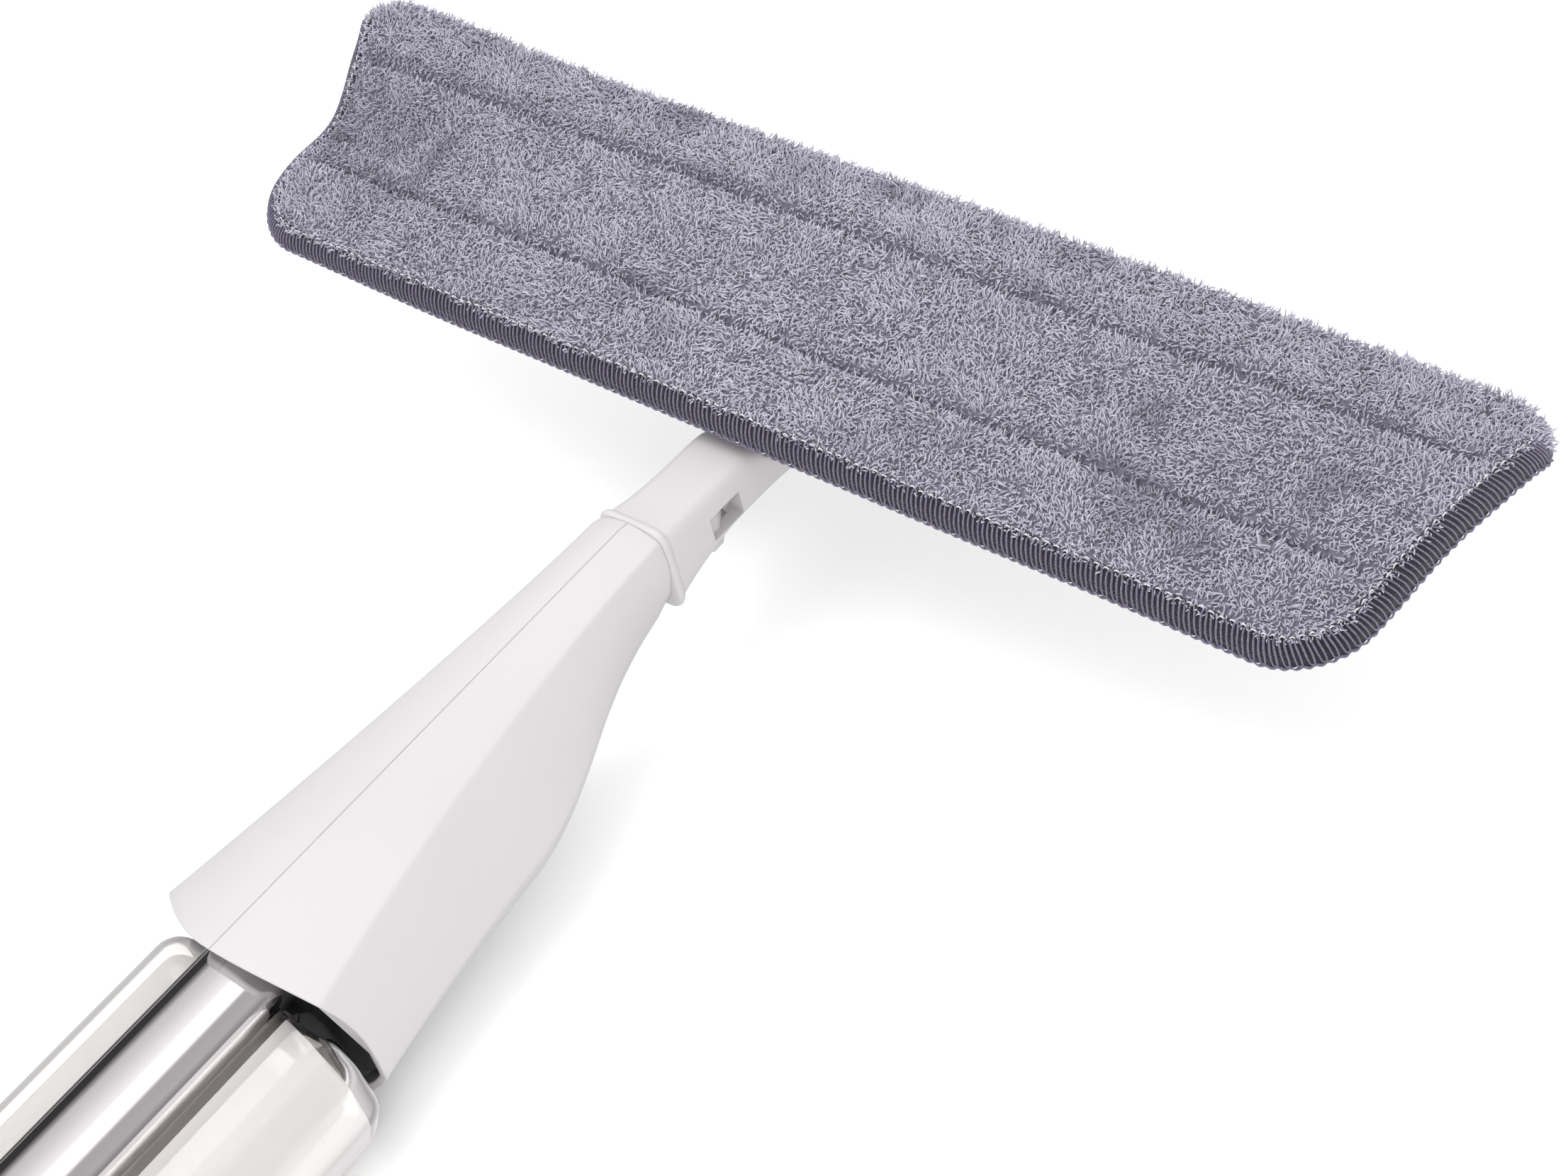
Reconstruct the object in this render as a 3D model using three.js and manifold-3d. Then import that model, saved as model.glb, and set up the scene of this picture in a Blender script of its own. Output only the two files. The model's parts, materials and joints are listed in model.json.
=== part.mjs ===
// Spray mop, lying on its bottle with the microfibre pad upwards.
// Millimetres, +Z up. +Y runs along the pole to the pad, X is the pad's long way.
import * as THREE from "three";
import { mergeVertices } from "three/addons/utils/BufferGeometryUtils.js";
import Module from "manifold-3d";

const wasm = await Module();
wasm.setup();

// ---------- driving dimensions ----------
const HALF_LENGTH = 625; // whole mop, half its length
const AXIS_Z = 47; // pole axis above the floor
const GAP = 0.3; // between touching pieces
const WALL = 2.4; // moulded shells

// The pad is a long trapezium with its longer edge far from the handle: flare is what each half
// gains there. Its border lies in its middle plane, h = 0; the pile stands above, the backing below.
const PAD = { length: 389, width: 99.6, flare: 10.9, back: -2.5, face: 8, corner: 19, bevel: 3 };
const HOOK = { length: 290, width: 16, thick: 1, offset: 24 };
const PLATE = { length: 360, width: 76, flare: 9, thick: 3.2, corner: 14 };

// Everything below is along the pole, from the mop's own origin (handle side negative).
// The head lies folded back on the neck: tilted on the pitch pin, and a little on the roll pin.
const TILT = THREE.MathUtils.degToRad(10.2);
const ROLL = THREE.MathUtils.degToRad(1.5);
const PIN_R = 2.5;
const PITCH_PIN = { y: 34.9, z: -1.35 };
const ROLL_ABOVE = 10; // roll pin above the pitch pin
const PAD_ABOVE = 18; // pad's middle plane above the roll pin
// The pad's far corner is one end of the whole length, which is centred on the frame's origin.
const padCentreY = PITCH_PIN.y - (ROLL_ABOVE + PAD_ABOVE * Math.cos(ROLL)) * Math.sin(TILT);
const padReach =
  (PAD.width / 2) * Math.cos(TILT) -
  (PAD.back + PAD.bevel) * Math.sin(TILT) +
  (PAD.length / 2 + PAD.flare - PAD.corner) * Math.sin(TILT) * Math.sin(ROLL);
const MOP_Y = HALF_LENGTH - padCentreY - padReach;
const COLLAR = { y: -55.5, wide: 2.2 };
const HOUSING = { start: -57, lip: -215, lipCut: 10 };
const NECK = { end: 16, window: [-38.5, -28], windowTop: 5 };
const TUBE_R = 12.1;
const TUBE_WALL = 1;
const TUBE_TOP = -142; // lower tube's end inside the housing
const BOTTLE = { top: -206.7, bottom: -436, wall: 1.6, neckR: 8, neckZ: -25 };
const PUMP = { from: -130, to: -88, r: 8.2, bore: 6.8, inlet: -97 };
const ROD_R = 2.5;
const JOIN_Y = -610; // where the two tubes meet
const END_Y = -(HALF_LENGTH + MOP_Y); // far end of the handle
const GRIP = { front: END_Y + 196, back: END_Y + 36 };
const TRIGGER = { y: END_Y + 146, z: -11.5, width: 14 };

// ---------- materials ----------
const finish = (color, roughness, metalness = 0, extra = {}) =>
  new THREE.MeshStandardMaterial({ color, roughness, metalness, ...extra });
const LOOKS = {
  white: () => finish(0xe9e7e9, 0.35),
  grey: () => finish(0x8b8990, 0.5),
  dark: () => finish(0x26252a, 0.6),
  chrome: () => finish(0xd8d8dc, 0.08, 1),
  steel: () => finish(0xa9aaad, 0.3, 1),
  clear: () => finish(0xeceae6, 0.08, 0, { transparent: true, opacity: 0.4 }),
  fabric: () => finish(0x9a93a0, 0.95),
  hook: () => finish(0xd0d0d2, 0.9),
  hose: () => finish(0xc9cdd0, 0.3),
};

// ---------- solids ----------
// A closed three.js geometry as a solid that can be cut and joined.
function solid(geometry) {
  const bare = geometry.clone();
  for (const name of Object.keys(bare.attributes)) if (name !== "position") bare.deleteAttribute(name);
  const merged = mergeVertices(bare, 1e-3);
  return new wasm.Manifold(
    new wasm.Mesh({
      numProp: 3,
      vertProperties: new Float32Array(merged.attributes.position.array),
      triVerts: new Uint32Array(merged.index.array),
    }),
  );
}

function meshOf(name, shape, material) {
  const m = shape.getMesh();
  const position = new Float32Array(m.numVert * 3);
  for (let i = 0; i < m.numVert; i++) {
    position.set(m.vertProperties.subarray(i * m.numProp, i * m.numProp + 3), i * 3);
  }
  const geometry = new THREE.BufferGeometry();
  geometry.setAttribute("position", new THREE.BufferAttribute(position, 3));
  geometry.setIndex(new THREE.BufferAttribute(new Uint32Array(m.triVerts), 1));
  geometry.computeVertexNormals();
  const mesh = new THREE.Mesh(geometry, material);
  mesh.name = name;
  return mesh;
}

const block = (x0, x1, y0, y1, z0, z1) =>
  solid(
    new THREE.BoxGeometry(x1 - x0, y1 - y0, z1 - z0).translate((x0 + x1) / 2, (y0 + y1) / 2, (z0 + z1) / 2),
  );
// Round bars along each axis, from one coordinate to the other.
const barY = (r, y0, y1, z = 0, x = 0, sides = 24, r1 = r) =>
  solid(new THREE.CylinderGeometry(r1, r, y1 - y0, sides).translate(x, (y0 + y1) / 2, z));
const barX = (r, x0, x1, y, z, sides = 24) =>
  solid(
    new THREE.CylinderGeometry(r, r, x1 - x0, sides).rotateZ(-Math.PI / 2).translate((x0 + x1) / 2, y, z),
  );
const barZ = (r, z0, z1, x, y, sides = 24) =>
  solid(new THREE.CylinderGeometry(r, r, z1 - z0, sides).rotateX(Math.PI / 2).translate(x, y, (z0 + z1) / 2));

// A closed body through rings of points that all have the same count; the end rings are filled.
function loft(rings) {
  const n = rings[0].length;
  const position = rings.flat().flatMap((p) => [p.x, p.y, p.z]);
  const index = [];
  for (let k = 0; k < rings.length - 1; k++) {
    for (let i = 0; i < n; i++) {
      const a = k * n + i;
      const b = k * n + ((i + 1) % n);
      index.push(a, a + n, b, b, a + n, b + n);
    }
  }
  // Triangles over a ring, each one turning the same way as the ring does.
  const capOf = (ring) => {
    const flat = ring.map((p) => new THREE.Vector2(p.x, p.z));
    const turn = Math.sign(THREE.ShapeUtils.area(flat));
    return THREE.ShapeUtils.triangulateShape(flat, []).map(([a, b, c]) =>
      Math.sign(THREE.ShapeUtils.area([flat[a], flat[b], flat[c]])) === turn ? [a, b, c] : [a, c, b],
    );
  };
  const last = (rings.length - 1) * n;
  for (const t of capOf(rings[0])) index.push(...t);
  for (const [a, b, c] of capOf(rings[rings.length - 1])) index.push(last + a, last + c, last + b);
  const geometry = new THREE.BufferGeometry();
  geometry.setAttribute("position", new THREE.Float32BufferAttribute(position, 3));
  geometry.setIndex(index);
  const made = solid(geometry);
  if (made.volume() > 0) return made;
  for (let i = 0; i < index.length; i += 3) [index[i + 1], index[i + 2]] = [index[i + 2], index[i + 1]];
  geometry.setIndex(index);
  return solid(geometry);
}

// Closed ring of a left-right symmetrical section, from the points of its right half (back to front).
const mirrored = (half, yOf) => {
  const right = half.map(([x, z]) => new THREE.Vector3(x, yOf(z), z));
  const left = half
    .slice(1, -1)
    .reverse()
    .map(([x, z]) => new THREE.Vector3(-x, yOf(z), z));
  return [...right, ...left];
};

const mix = (a, b, t) => a + (b - a) * t;
const smooth = (t) => {
  const c = Math.min(Math.max(t, 0), 1);
  return c * c * (3 - 2 * c);
};
// Points of a rounded corner at p between a and b, cut back by r, without its last point.
function rounded(a, p, b, r, steps = 4) {
  const to = (q) => {
    const d = Math.hypot(q[0] - p[0], q[1] - p[1]);
    const k = Math.min(r, d * 0.45) / d;
    return [mix(p[0], q[0], k), mix(p[1], q[1], k)];
  };
  const s = to(a);
  const e = to(b);
  return Array.from({ length: steps + 1 }, (_, i) => {
    const t = i / steps;
    return [0, 1].map((k) => mix(mix(s[k], p[k], t), mix(p[k], e[k], t), t));
  });
}
const outline = (corners, r, steps) =>
  corners.flatMap((p, i) =>
    rounded(corners.at(i - 1), p, corners[(i + 1) % corners.length], r, steps),
  );
// A slab along n of a rounded trapezium in the u-v plane; each half gains flare on the +v edge.
function slab({ length, width, corner, flare = 0 }, h0, h1, bevel = 0) {
  const shape = new THREE.Shape();
  const [a, b, r] = [length / 2 - bevel, width / 2 - bevel, corner - bevel];
  shape.moveTo(a, -b + r);
  shape.lineTo(a, b - r).absarc(a - r, b - r, r, 0, Math.PI / 2);
  shape.lineTo(-a + r, b).absarc(-a + r, b - r, r, Math.PI / 2, Math.PI);
  shape.lineTo(-a, -b + r).absarc(-a + r, -b + r, r, Math.PI, 1.5 * Math.PI);
  shape.lineTo(a - r, -b).absarc(a - r, -b + r, r, 1.5 * Math.PI, 2 * Math.PI);
  const geometry = new THREE.ExtrudeGeometry(shape, {
    depth: h1 - h0 - 2 * bevel,
    bevelEnabled: bevel > 0,
    bevelThickness: bevel,
    bevelSize: bevel,
    bevelSegments: 2,
    curveSegments: 6,
  }).translate(0, 0, h0 + bevel);
  const at = geometry.getAttribute("position");
  for (let i = 0; i < at.count; i++) {
    at.setX(i, at.getX(i) * (1 + (4 * flare * at.getY(i)) / (length * width)));
  }
  return solid(geometry);
}
// A flat plate of an outline in the Y-Z plane, centred on x = 0.
function plateYZ(points, halfWidth, bevel = 0) {
  const shape = new THREE.Shape(points.map(([y, z]) => new THREE.Vector2(y, z)));
  return solid(
    new THREE.ExtrudeGeometry(shape, {
      depth: 2 * (halfWidth - bevel),
      bevelEnabled: bevel > 0,
      bevelThickness: bevel,
      bevelSize: bevel,
      bevelOffset: -bevel,
      bevelSegments: 2,
    })
      .translate(0, 0, -(halfWidth - bevel))
      .applyMatrix4(new THREE.Matrix4().makeBasis(
        new THREE.Vector3(0, 1, 0),
        new THREE.Vector3(0, 0, 1),
        new THREE.Vector3(1, 0, 0),
      )),
  );
}
// A wire or hose of round section along a smooth line.
function alongLine(points, r, steps, sides = 8) {
  const section = new THREE.Shape();
  section.absarc(0, 0, r, 0, 2 * Math.PI);
  return solid(
    new THREE.ExtrudeGeometry(section, {
      extrudePath: new THREE.CatmullRomCurve3(points),
      steps,
      curveSegments: sides / 2,
      bevelEnabled: false,
    }),
  );
}
function coil(radius, wire, turns, from, to, axis, centre) {
  const points = [];
  const perTurn = 8;
  for (let i = 0; i <= turns * perTurn; i++) {
    const a = (i / perTurn) * 2 * Math.PI;
    const p = new THREE.Vector3(radius * Math.cos(a), radius * Math.sin(a), 0);
    const along = mix(from, to, i / (turns * perTurn));
    if (axis === "y") points.push(new THREE.Vector3(p.x, along, p.y).add(centre));
    else points.push(new THREE.Vector3(along, p.x, p.y).add(centre));
  }
  return alongLine(points, wire, turns * 10, 6);
}

// ---------- housing ----------
// The section flares from the collar (s = 0) to the lip (s = 1); inset makes the inside face.
function housingHalf(s, inset = 0) {
  const [across, down] = [0.774, 0.633];
  const flare = s ** 0.75;
  const reach = 11 + 19 * smooth(s / 0.55) + 8 * s + 4 * s ** 3; // of the front quarter
  const back = [11 + 18.5 * s ** 1.6 - inset * 0.95, 15.2 - 6 * s ** 2.2 - inset * 0.9];
  const sideZ = -3 - 22 * flare;
  const inward = mix(1.2, 0.5, s) + 1.6 * Math.sin(Math.PI * s);
  const side = [(reach - inward + down * sideZ) / across - inset, sideZ + inset * 0.2];
  const frontZ = -10 - 28 * flare;
  const front = [(reach + down * frontZ) / across - inset * 0.8, frontZ + inset * 0.6];
  const crown = 17.9 - inset;
  const belly = -14 - 30 * s ** 0.6 + inset;
  const half = [];
  for (let i = 0; i <= 5; i++) half.push([(back[0] * i) / 5, crown - (crown - back[1]) * (i / 5) ** 2]);
  for (let i = 1; i <= 4; i++) {
    const t = i / 4;
    half.push([mix(back[0], side[0], t) + 1.2 * Math.sin(Math.PI * t), mix(back[1], side[1], t)]);
  }
  half.push([mix(side[0], front[0], 0.5) + 0.6, mix(side[1], front[1], 0.5)], front);
  for (const a of [0.25, 0.5, 0.75]) {
    const turn = (a * Math.PI) / 2;
    half.push([front[0] * Math.cos(turn), mix(front[1], belly, Math.sin(turn))]);
  }
  half.push([0, belly]);
  return half;
}
// The lip stands furthest out on the back's centre line and is cut back at the sides and front.
const lipAt = (z) => HOUSING.lip + HOUSING.lipCut * (1 - (Math.max(z + 15, 0) / 33) ** 2);
const housingSpan = HOUSING.lip + HOUSING.lipCut - HOUSING.start;
const stationOf = (y) => (y - HOUSING.start) / housingSpan;
function housingBody(inset, from, past = 0, stations = 8) {
  const rings = [];
  for (let k = 0; k <= stations; k++) {
    const s = mix(from, 1, k / stations);
    const end = k === stations ? past : 0;
    rings.push(mirrored(housingHalf(s, inset), (z) => mix(HOUSING.start, lipAt(z), s) - end));
  }
  return loft(rings);
}
// A flat web or gasket across the housing.
const web = (y0, y1, inset) =>
  loft([y1, y0].map((y) => mirrored(housingHalf(stationOf(mix(y0, y1, 0.5)), inset), () => y)));

const socketAxis = BOTTLE.neckZ;
const cavity = housingBody(WALL, 0.2, 6);
const housing = housingBody(0, 0)
  .subtract(cavity)
  .add(web(-137, -134.5, WALL - 0.5))
  .add(web(-171, -168.5, WALL - 0.5))
  .add(web(-181.5, -179, WALL - 0.5))
  .subtract(barY(TUBE_R + GAP, -260, -141.7, 0, 0, 40))
  .subtract(barY(5, -142, -120))
  .subtract(block(-8.3, 8.3, -90, -50, -9.3, 12.8)) // the neck's spigot
  .subtract(barY(5, -178, -120, -26)) // way of the supply hose
  .subtract(barY(3.2, -182, -178, socketAxis));
const screws = [
  { y: -72, z: 2, far: 6.5 },
  { y: -108, z: -17, far: 12 },
  { y: -160, z: -22, far: 20 },
];
// Half-width of the housing's outside at a place.
function halfWidthAt(y, z) {
  const points = housingHalf(stationOf(y)).slice(5, 12);
  const k = Math.max(1, points.findIndex(([, pz]) => pz <= z));
  const [[xa, za], [xb, zb]] = [points[k - 1], points[k]];
  return mix(xa, xb, (z - za) / (zb - za));
}
// All the space on one side of the seam, between two places along the pole.
const halfSpace = (side, y0, y1) =>
  block(Math.min(0.15 * side, 60 * side), Math.max(0.15 * side, 60 * side), y0, y1, -60, 60);
const inside = housingBody(0.9, 0);
function housingShell(side) {
  let shell = housing;
  for (const { y, z } of screws.slice(1)) shell = shell.add(barX(3.6, -34, 34, y, z, 16).intersect(inside));
  for (const { y, z, far } of screws) {
    const width = halfWidthAt(y, z);
    shell = shell.subtract(barX(1.7, -width - 2, far + 0.5, y, z, 16));
    shell = shell.subtract(barX(3.1, -width - 4, -width + 3.2, y, z, 16));
  }
  return shell.intersect(halfSpace(side, -240, -40));
}
function housingScrew({ y, z, far }) {
  const width = halfWidthAt(y, z);
  return barX(1.5, -width + 1, far, y, z, 12)
    .add(barX(2.8, -width + 1, -width + 2.9, y, z, 16))
    .subtract(block(-width, -width + 1.8, y - 2, y + 2, z - 0.4, z + 0.4))
    .subtract(block(-width, -width + 1.8, y - 0.4, y + 0.4, z - 2, z + 2));
}

// ---------- neck, nozzle and pump ----------
function neckRing(y, halfWide, top, bottom) {
  const corners = [[0, top + 0.1], [halfWide, top], [halfWide, bottom], [0, bottom - 0.1]];
  const half = [
    corners[0],
    ...rounded(corners[0], corners[1], [halfWide, 0], Math.min(6, halfWide * 0.6), 5),
    ...rounded([halfWide, 2], corners[2], corners[3], Math.min(9, halfWide), 5),
    corners[3],
  ];
  return mirrored(half, () => y);
}
const ear = (x0, x1) =>
  barX(8, x0, x1, PITCH_PIN.y, PITCH_PIN.z, 28).add(block(x0, x1, 10, PITCH_PIN.y - 4, -7.2, 4.4));
const neckBody = loft([
  neckRing(-53, 11, 15.6, -9.8),
  neckRing(-48, 10.6, 14.8, -8.4),
  neckRing(-40, 10.2, 14, -6.6),
  neckRing(-32, 10.4, 13.4, -4.8),
  neckRing(-26, 11.2, 12, -4.4),
  neckRing(-19, 12.2, 9, -5),
  neckRing(-12, 13, 4.8, -6),
  neckRing(NECK.end, 14, 4.8, -7.4),
]);
const neck = neckBody
  .add(block(-8, 8, -78, -52, -9, 12.5)) // spigot held between the shells
  .add(ear(9.4, 14))
  .add(ear(-14, -9.4))
  .subtract(barX(PIN_R + 0.06, -20, 20, PITCH_PIN.y, PITCH_PIN.z))
  .subtract(block(-20, 20, NECK.window[0], NECK.window[1], -30, NECK.windowTop))
  .subtract(barY(3.2, -90, -36, -2, 0, 16))
  .subtract(barX(1.7, -20, 20, screws[0].y, screws[0].z, 16));
const collar = loft([
  neckRing(COLLAR.y + COLLAR.wide / 2 + 0.4, 11.4, 16.6, -11),
  neckRing(COLLAR.y - COLLAR.wide / 2 + 0.4, 11.9, 17.3, -12),
]).subtract(block(-8.4, 8.4, -60, -50, -9.4, 12.9));
// Spray block: a wedge in the neck's window whose front slopes towards the floor in use.
const nozzleBody = plateYZ(
  [[-38.1, 4.6], [-38.1, -5.4], [-35.4, -7.8], [-31.8, -5.2], [-31, -2.6], [-28.4, -5], [-28.4, 4.6]],
  9.2,
  0.6,
)
  .subtract(barY(2.4, -39, -34.5, -2, 0, 16))
  .subtract(barZ(1.8, -12, -3, 0, -34.6, 16));
const nozzleTip = barZ(1.5, -9.2, -3.4, 0, -34.6, 16).subtract(barZ(0.5, -10, -5, 0, -34.6, 8));

const pumpCylinder = barY(PUMP.r, PUMP.from, PUMP.to, 0, 0, 32)
  .add(barZ(2.8, -11, -6.9, 0, PUMP.inlet, 16))
  .subtract(barZ(1.2, -12, -6, 0, PUMP.inlet, 12))
  .subtract(barY(PUMP.bore, PUMP.from - 1, PUMP.to - 2.4, 0, 0, 32))
  .subtract(barY(1.4, PUMP.to - 4, PUMP.to + 1, -2, 0, 12));
const pumpPiston = barY(PUMP.bore - 0.2, -125, -118, 0, 0, 32).add(barY(ROD_R, -133.5, -124, 0, 0, 16));
const feedHose = barY(1.8, PUMP.to + GAP, -36.6, -2, 0, 12);
// From the bottle's valve along the belly, under two screw bosses and up to the pump's inlet.
const supplyRoute = [
  [-181.7, -25], [-176, -25.4], [-168, -27.5], [-160, -28.6], [-150, -28], [-136, -26],
  [-122, -25], [-108, -24.4], [-101.5, -21.5], [-98, -16.5], [PUMP.inlet, -11 - GAP],
];
const supplyHose = alongLine(supplyRoute.map(([y, z]) => new THREE.Vector3(0, y, z)), 1.8, 36);

// ---------- bottle ----------
// Two lobes stand beside the pole and one body lies in front of it.
function bottleRing(y, inset) {
  const right = [
    [15.2 + inset, -15.5 - inset],
    [15.2 + inset, -2 - inset],
    [30.5 - inset, -2 - inset],
    [35.5 - inset, -11 - 0.6 * inset],
    [36.5 - inset, -28],
    [30 - inset, -43 + inset],
    [21 - 0.6 * inset, -47 + inset],
  ];
  const left = right.map(([x, z]) => [-x, z]).reverse();
  return outline([...right, ...left], 3.4, 2).map(([x, z]) => new THREE.Vector3(x, y, z));
}
function bottleBody(inset) {
  const { top, bottom } = BOTTLE;
  const stations = [
    [top - inset, 4],
    [top - 1.2 - inset, 1.9],
    [top - 3.6 - inset, 0.5],
    [top - 7.5, 0],
    [bottom + 7.5, 0],
    [bottom + 2.5 + inset, 1],
    [bottom + inset, 3.6],
  ];
  return loft(stations.map(([y, pulled]) => bottleRing(y, inset + pulled)));
}
const neckTop = BOTTLE.top + 17;
const bottle = bottleBody(0)
  .add(barY(BOTTLE.neckR, BOTTLE.top - 1, neckTop, BOTTLE.neckZ))
  .subtract(bottleBody(BOTTLE.wall))
  .subtract(barY(BOTTLE.neckR - 1.6, BOTTLE.top - 6, neckTop + 1, BOTTLE.neckZ));
const bottleCap = barY(9.9, BOTTLE.top + 0.4, neckTop + 2.6, BOTTLE.neckZ)
  .subtract(barY(BOTTLE.neckR + GAP, BOTTLE.top, neckTop + GAP, BOTTLE.neckZ))
  .subtract(barY(3, neckTop, neckTop + 4, BOTTLE.neckZ, 0, 16));
// Socket that takes the cap; its spigot opens the cap's valve.
const valveSocket = barY(11.5, -198, -182, BOTTLE.neckZ)
  .subtract(barY(10.3, -199, -184, BOTTLE.neckZ))
  .add(barY(2.3, -189.5, -183, BOTTLE.neckZ, 0, 16))
  .subtract(barY(1.2, -190, -181, BOTTLE.neckZ, 0, 12));
const bottleSeal = web(-204, -200, WALL + 1.5)
  .subtract(barY(TUBE_R + GAP, -210, -190, 0, 0, 40))
  .subtract(barY(10.4, -210, -190, BOTTLE.neckZ));

// ---------- pole ----------
const tube = (y0, y1) =>
  barY(TUBE_R, y0, y1, 0, 0, 40).subtract(barY(TUBE_R - TUBE_WALL, y0 - 1, y1 + 1, 0, 0, 40));
const bush = (y) =>
  barY(TUBE_R - TUBE_WALL - 0.2, y - 5, y + 5, 0, 0, 24).subtract(barY(ROD_R + 0.2, y - 6, y + 6, 0, 0, 16));
const coupler = loft(
  [[-26, 13], [-24.5, 14.3], [24.5, 14.3], [26, 13]].map(([dy, r]) =>
    Array.from({ length: 32 }, (_, i) => {
      const a = (-i / 32) * 2 * Math.PI;
      return new THREE.Vector3(r * Math.cos(a), JOIN_Y + dy, r * Math.sin(a));
    }),
  ),
).subtract(barY(TUBE_R + GAP, JOIN_Y - 30, JOIN_Y + 30, 0, 0, 40));

// ---------- handle ----------
// Grip: a round nose on the tube, a deeper palm part, and a flat end that takes the heel.
function gripRing(t, inset) {
  const y = mix(GRIP.front, GRIP.back, t);
  const wide = 14.6 + 2.6 * smooth(t / 0.3) - 1.4 * smooth((t - 0.6) / 0.4) - inset;
  const top = 14.6 + 3 * smooth(t / 0.35) - 1.2 * smooth((t - 0.7) / 0.3) - inset;
  const bottom = 14.6 + 5.4 * smooth(t / 0.2) - 1.4 * smooth((t - 0.3) / 0.7) - inset;
  return Array.from({ length: 24 }, (_, i) => {
    const a = (-i / 24) * 2 * Math.PI;
    const [c, s] = [Math.cos(a), Math.sin(a)];
    const soft = (v) => Math.sign(v) * Math.abs(v) ** 0.82;
    return new THREE.Vector3(wide * soft(c), y, (s > 0 ? top : bottom) * soft(s));
  });
}
const gripLoft = (from, to, inset) =>
  loft(Array.from({ length: 9 }, (_, k) => gripRing(mix(from, to, k / 8), inset)));
const pinAt = { y: TRIGGER.y, z: TRIGGER.z };
const gripScrewAt = { y: END_Y + 60, z: 8 };
const tubeEnd = END_Y + 166; // upper tube's end inside the grip
const gripSolid = gripLoft(0, 1, 0)
  .subtract(gripLoft(0.22, 0.94, WALL))
  .subtract(barY(TUBE_R + GAP, tubeEnd - 0.3, GRIP.front + 5, 0, 0, 40))
  .subtract(barY(ROD_R + 0.5, tubeEnd - 12, tubeEnd + 1, 0, 0, 16))
  .subtract(block(-7.6, 7.6, TRIGGER.y - 96, TRIGGER.y + 10, -40, -10));
const gripInside = gripLoft(0, 1, 0.8);
function gripShell(side) {
  const inner = side < 0 ? 11 : 7.8;
  const span = side < 0 ? [-20, -inner] : [inner, 20];
  let shell = gripSolid.add(barX(4.4, ...span, pinAt.y, pinAt.z).intersect(gripInside));
  const { y, z } = gripScrewAt;
  shell = shell.add(barX(3.4, -20, 20, y, z, 16).intersect(gripInside));
  if (side < 0) shell = shell.subtract(barX(3.95, -10.6, -7, pinAt.y, pinAt.z));
  shell = shell.subtract(barX(2.06, -13, 13, pinAt.y, pinAt.z));
  shell = shell.subtract(barX(1.7, -20, 9, y, z, 16)).subtract(barX(3.1, -20, -9.5, y, z, 16));
  return shell.intersect(halfSpace(side, END_Y - 5, GRIP.front + 5));
}
function gripScrewBody({ y, z }) {
  return barX(1.5, -11.6, 8.6, y, z, 12)
    .add(barX(2.8, -11.6, -9.7, y, z, 16))
    .subtract(block(-12, -10.8, y - 2, y + 2, z - 0.4, z + 0.4))
    .subtract(block(-12, -10.8, y - 0.4, y + 0.4, z - 2, z + 2));
}
const triggerShape = [
  [4.5, -5], [4.5, 14.5], [-3, 14.5], [-6, 4], [-20, -5], [-50, -10.5], [-82, -16.5], [-89, -21],
  [-88, -26.5], [-80, -28], [-50, -22.5], [-30, -19.5], [-12, -15.5], [0, -10.5],
];
// The trigger's own origin is its pin.
const trigger = plateYZ(triggerShape, TRIGGER.width / 2, 1.2).subtract(barX(2.06, -20, 20, 0, 0));
// Heel of the handle: it keeps the hand on, rests on the floor and has the hanging hole.
const heelShape = outline(
  [[35.6, -17], [31, -33], [22, -47], [6, -47], [0, -38], [0, 6], [12, 15.5], [35.6, 15.5]],
  7,
  3,
);
const holeShape = outline([[9, -32], [9, 4], [21, 4], [21, -32]], 7, 3);
const heel = plateYZ(heelShape, 10.5, 1.6).subtract(plateYZ(holeShape, 15));

// ---------- the mop ----------
const mop = new THREE.Group();
mop.position.set(0, MOP_Y, AXIS_Z);
const pole = new THREE.Group();
// The swivel turns on the pitch pin; the head turns on the roll pin above it.
const swivel = new THREE.Group();
swivel.position.set(0, PITCH_PIN.y, PITCH_PIN.z);
swivel.rotation.x = TILT;
const onRollPin = new THREE.Group();
onRollPin.position.z = ROLL_ABOVE;
onRollPin.rotation.y = ROLL;
const head = new THREE.Group(); // its Z is the pad's outward normal, its Y runs across the pad
head.position.z = PAD_ABOVE;
mop.add(pole, swivel.add(onRollPin.add(head)));
function put(group, name, shape, look, place = [0, 0, 0]) {
  const mesh = meshOf(name, shape, LOOKS[look]());
  mesh.position.set(...place);
  group.add(mesh);
}

// Head, downwards from the pad's face.
const hookTop = PAD.back - GAP;
const plateTop = hookTop - HOOK.thick - GAP;
const plateBack = plateTop - PLATE.thick;
const rollH = -PAD_ABOVE;
put(head, "mop_pad", slab(PAD, PAD.back, PAD.face, PAD.bevel), "fabric");
for (const [name, side] of [["hook_strip_near", -1], ["hook_strip_far", 1]]) {
  const strip = slab({ ...HOOK, corner: 3 }, hookTop - HOOK.thick, hookTop);
  put(head, name, strip, "hook", [0, side * HOOK.offset, 0]);
}
const lug = (v0, v1) =>
  barY(6, v0, v1, rollH, 0, 28).add(block(-6, 6, v0, v1, rollH, plateBack - 2));
const hump = loft(
  [[-20, -1, 20], [-14.5, -4, 15], [14.5, -4, 15], [20, -1, 20]].map(([v, h, x]) =>
    mirrored([[0, plateBack + 1], [x + 14, plateBack + 1], [x, plateBack + h], [0, plateBack + h]], () => v),
  ),
);
const basePlate = slab(PLATE, plateBack, plateTop)
  .add(hump)
  .add(lug(9.3, 13.3))
  .add(lug(-13.3, -9.3))
  .subtract(barY(PIN_R + 0.06, -30, 30, rollH, 0, 24));
put(head, "base_plate", basePlate, "white");
put(head, "roll_pin", barY(PIN_R, -13.8, 13.8, rollH), "steel");
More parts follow.
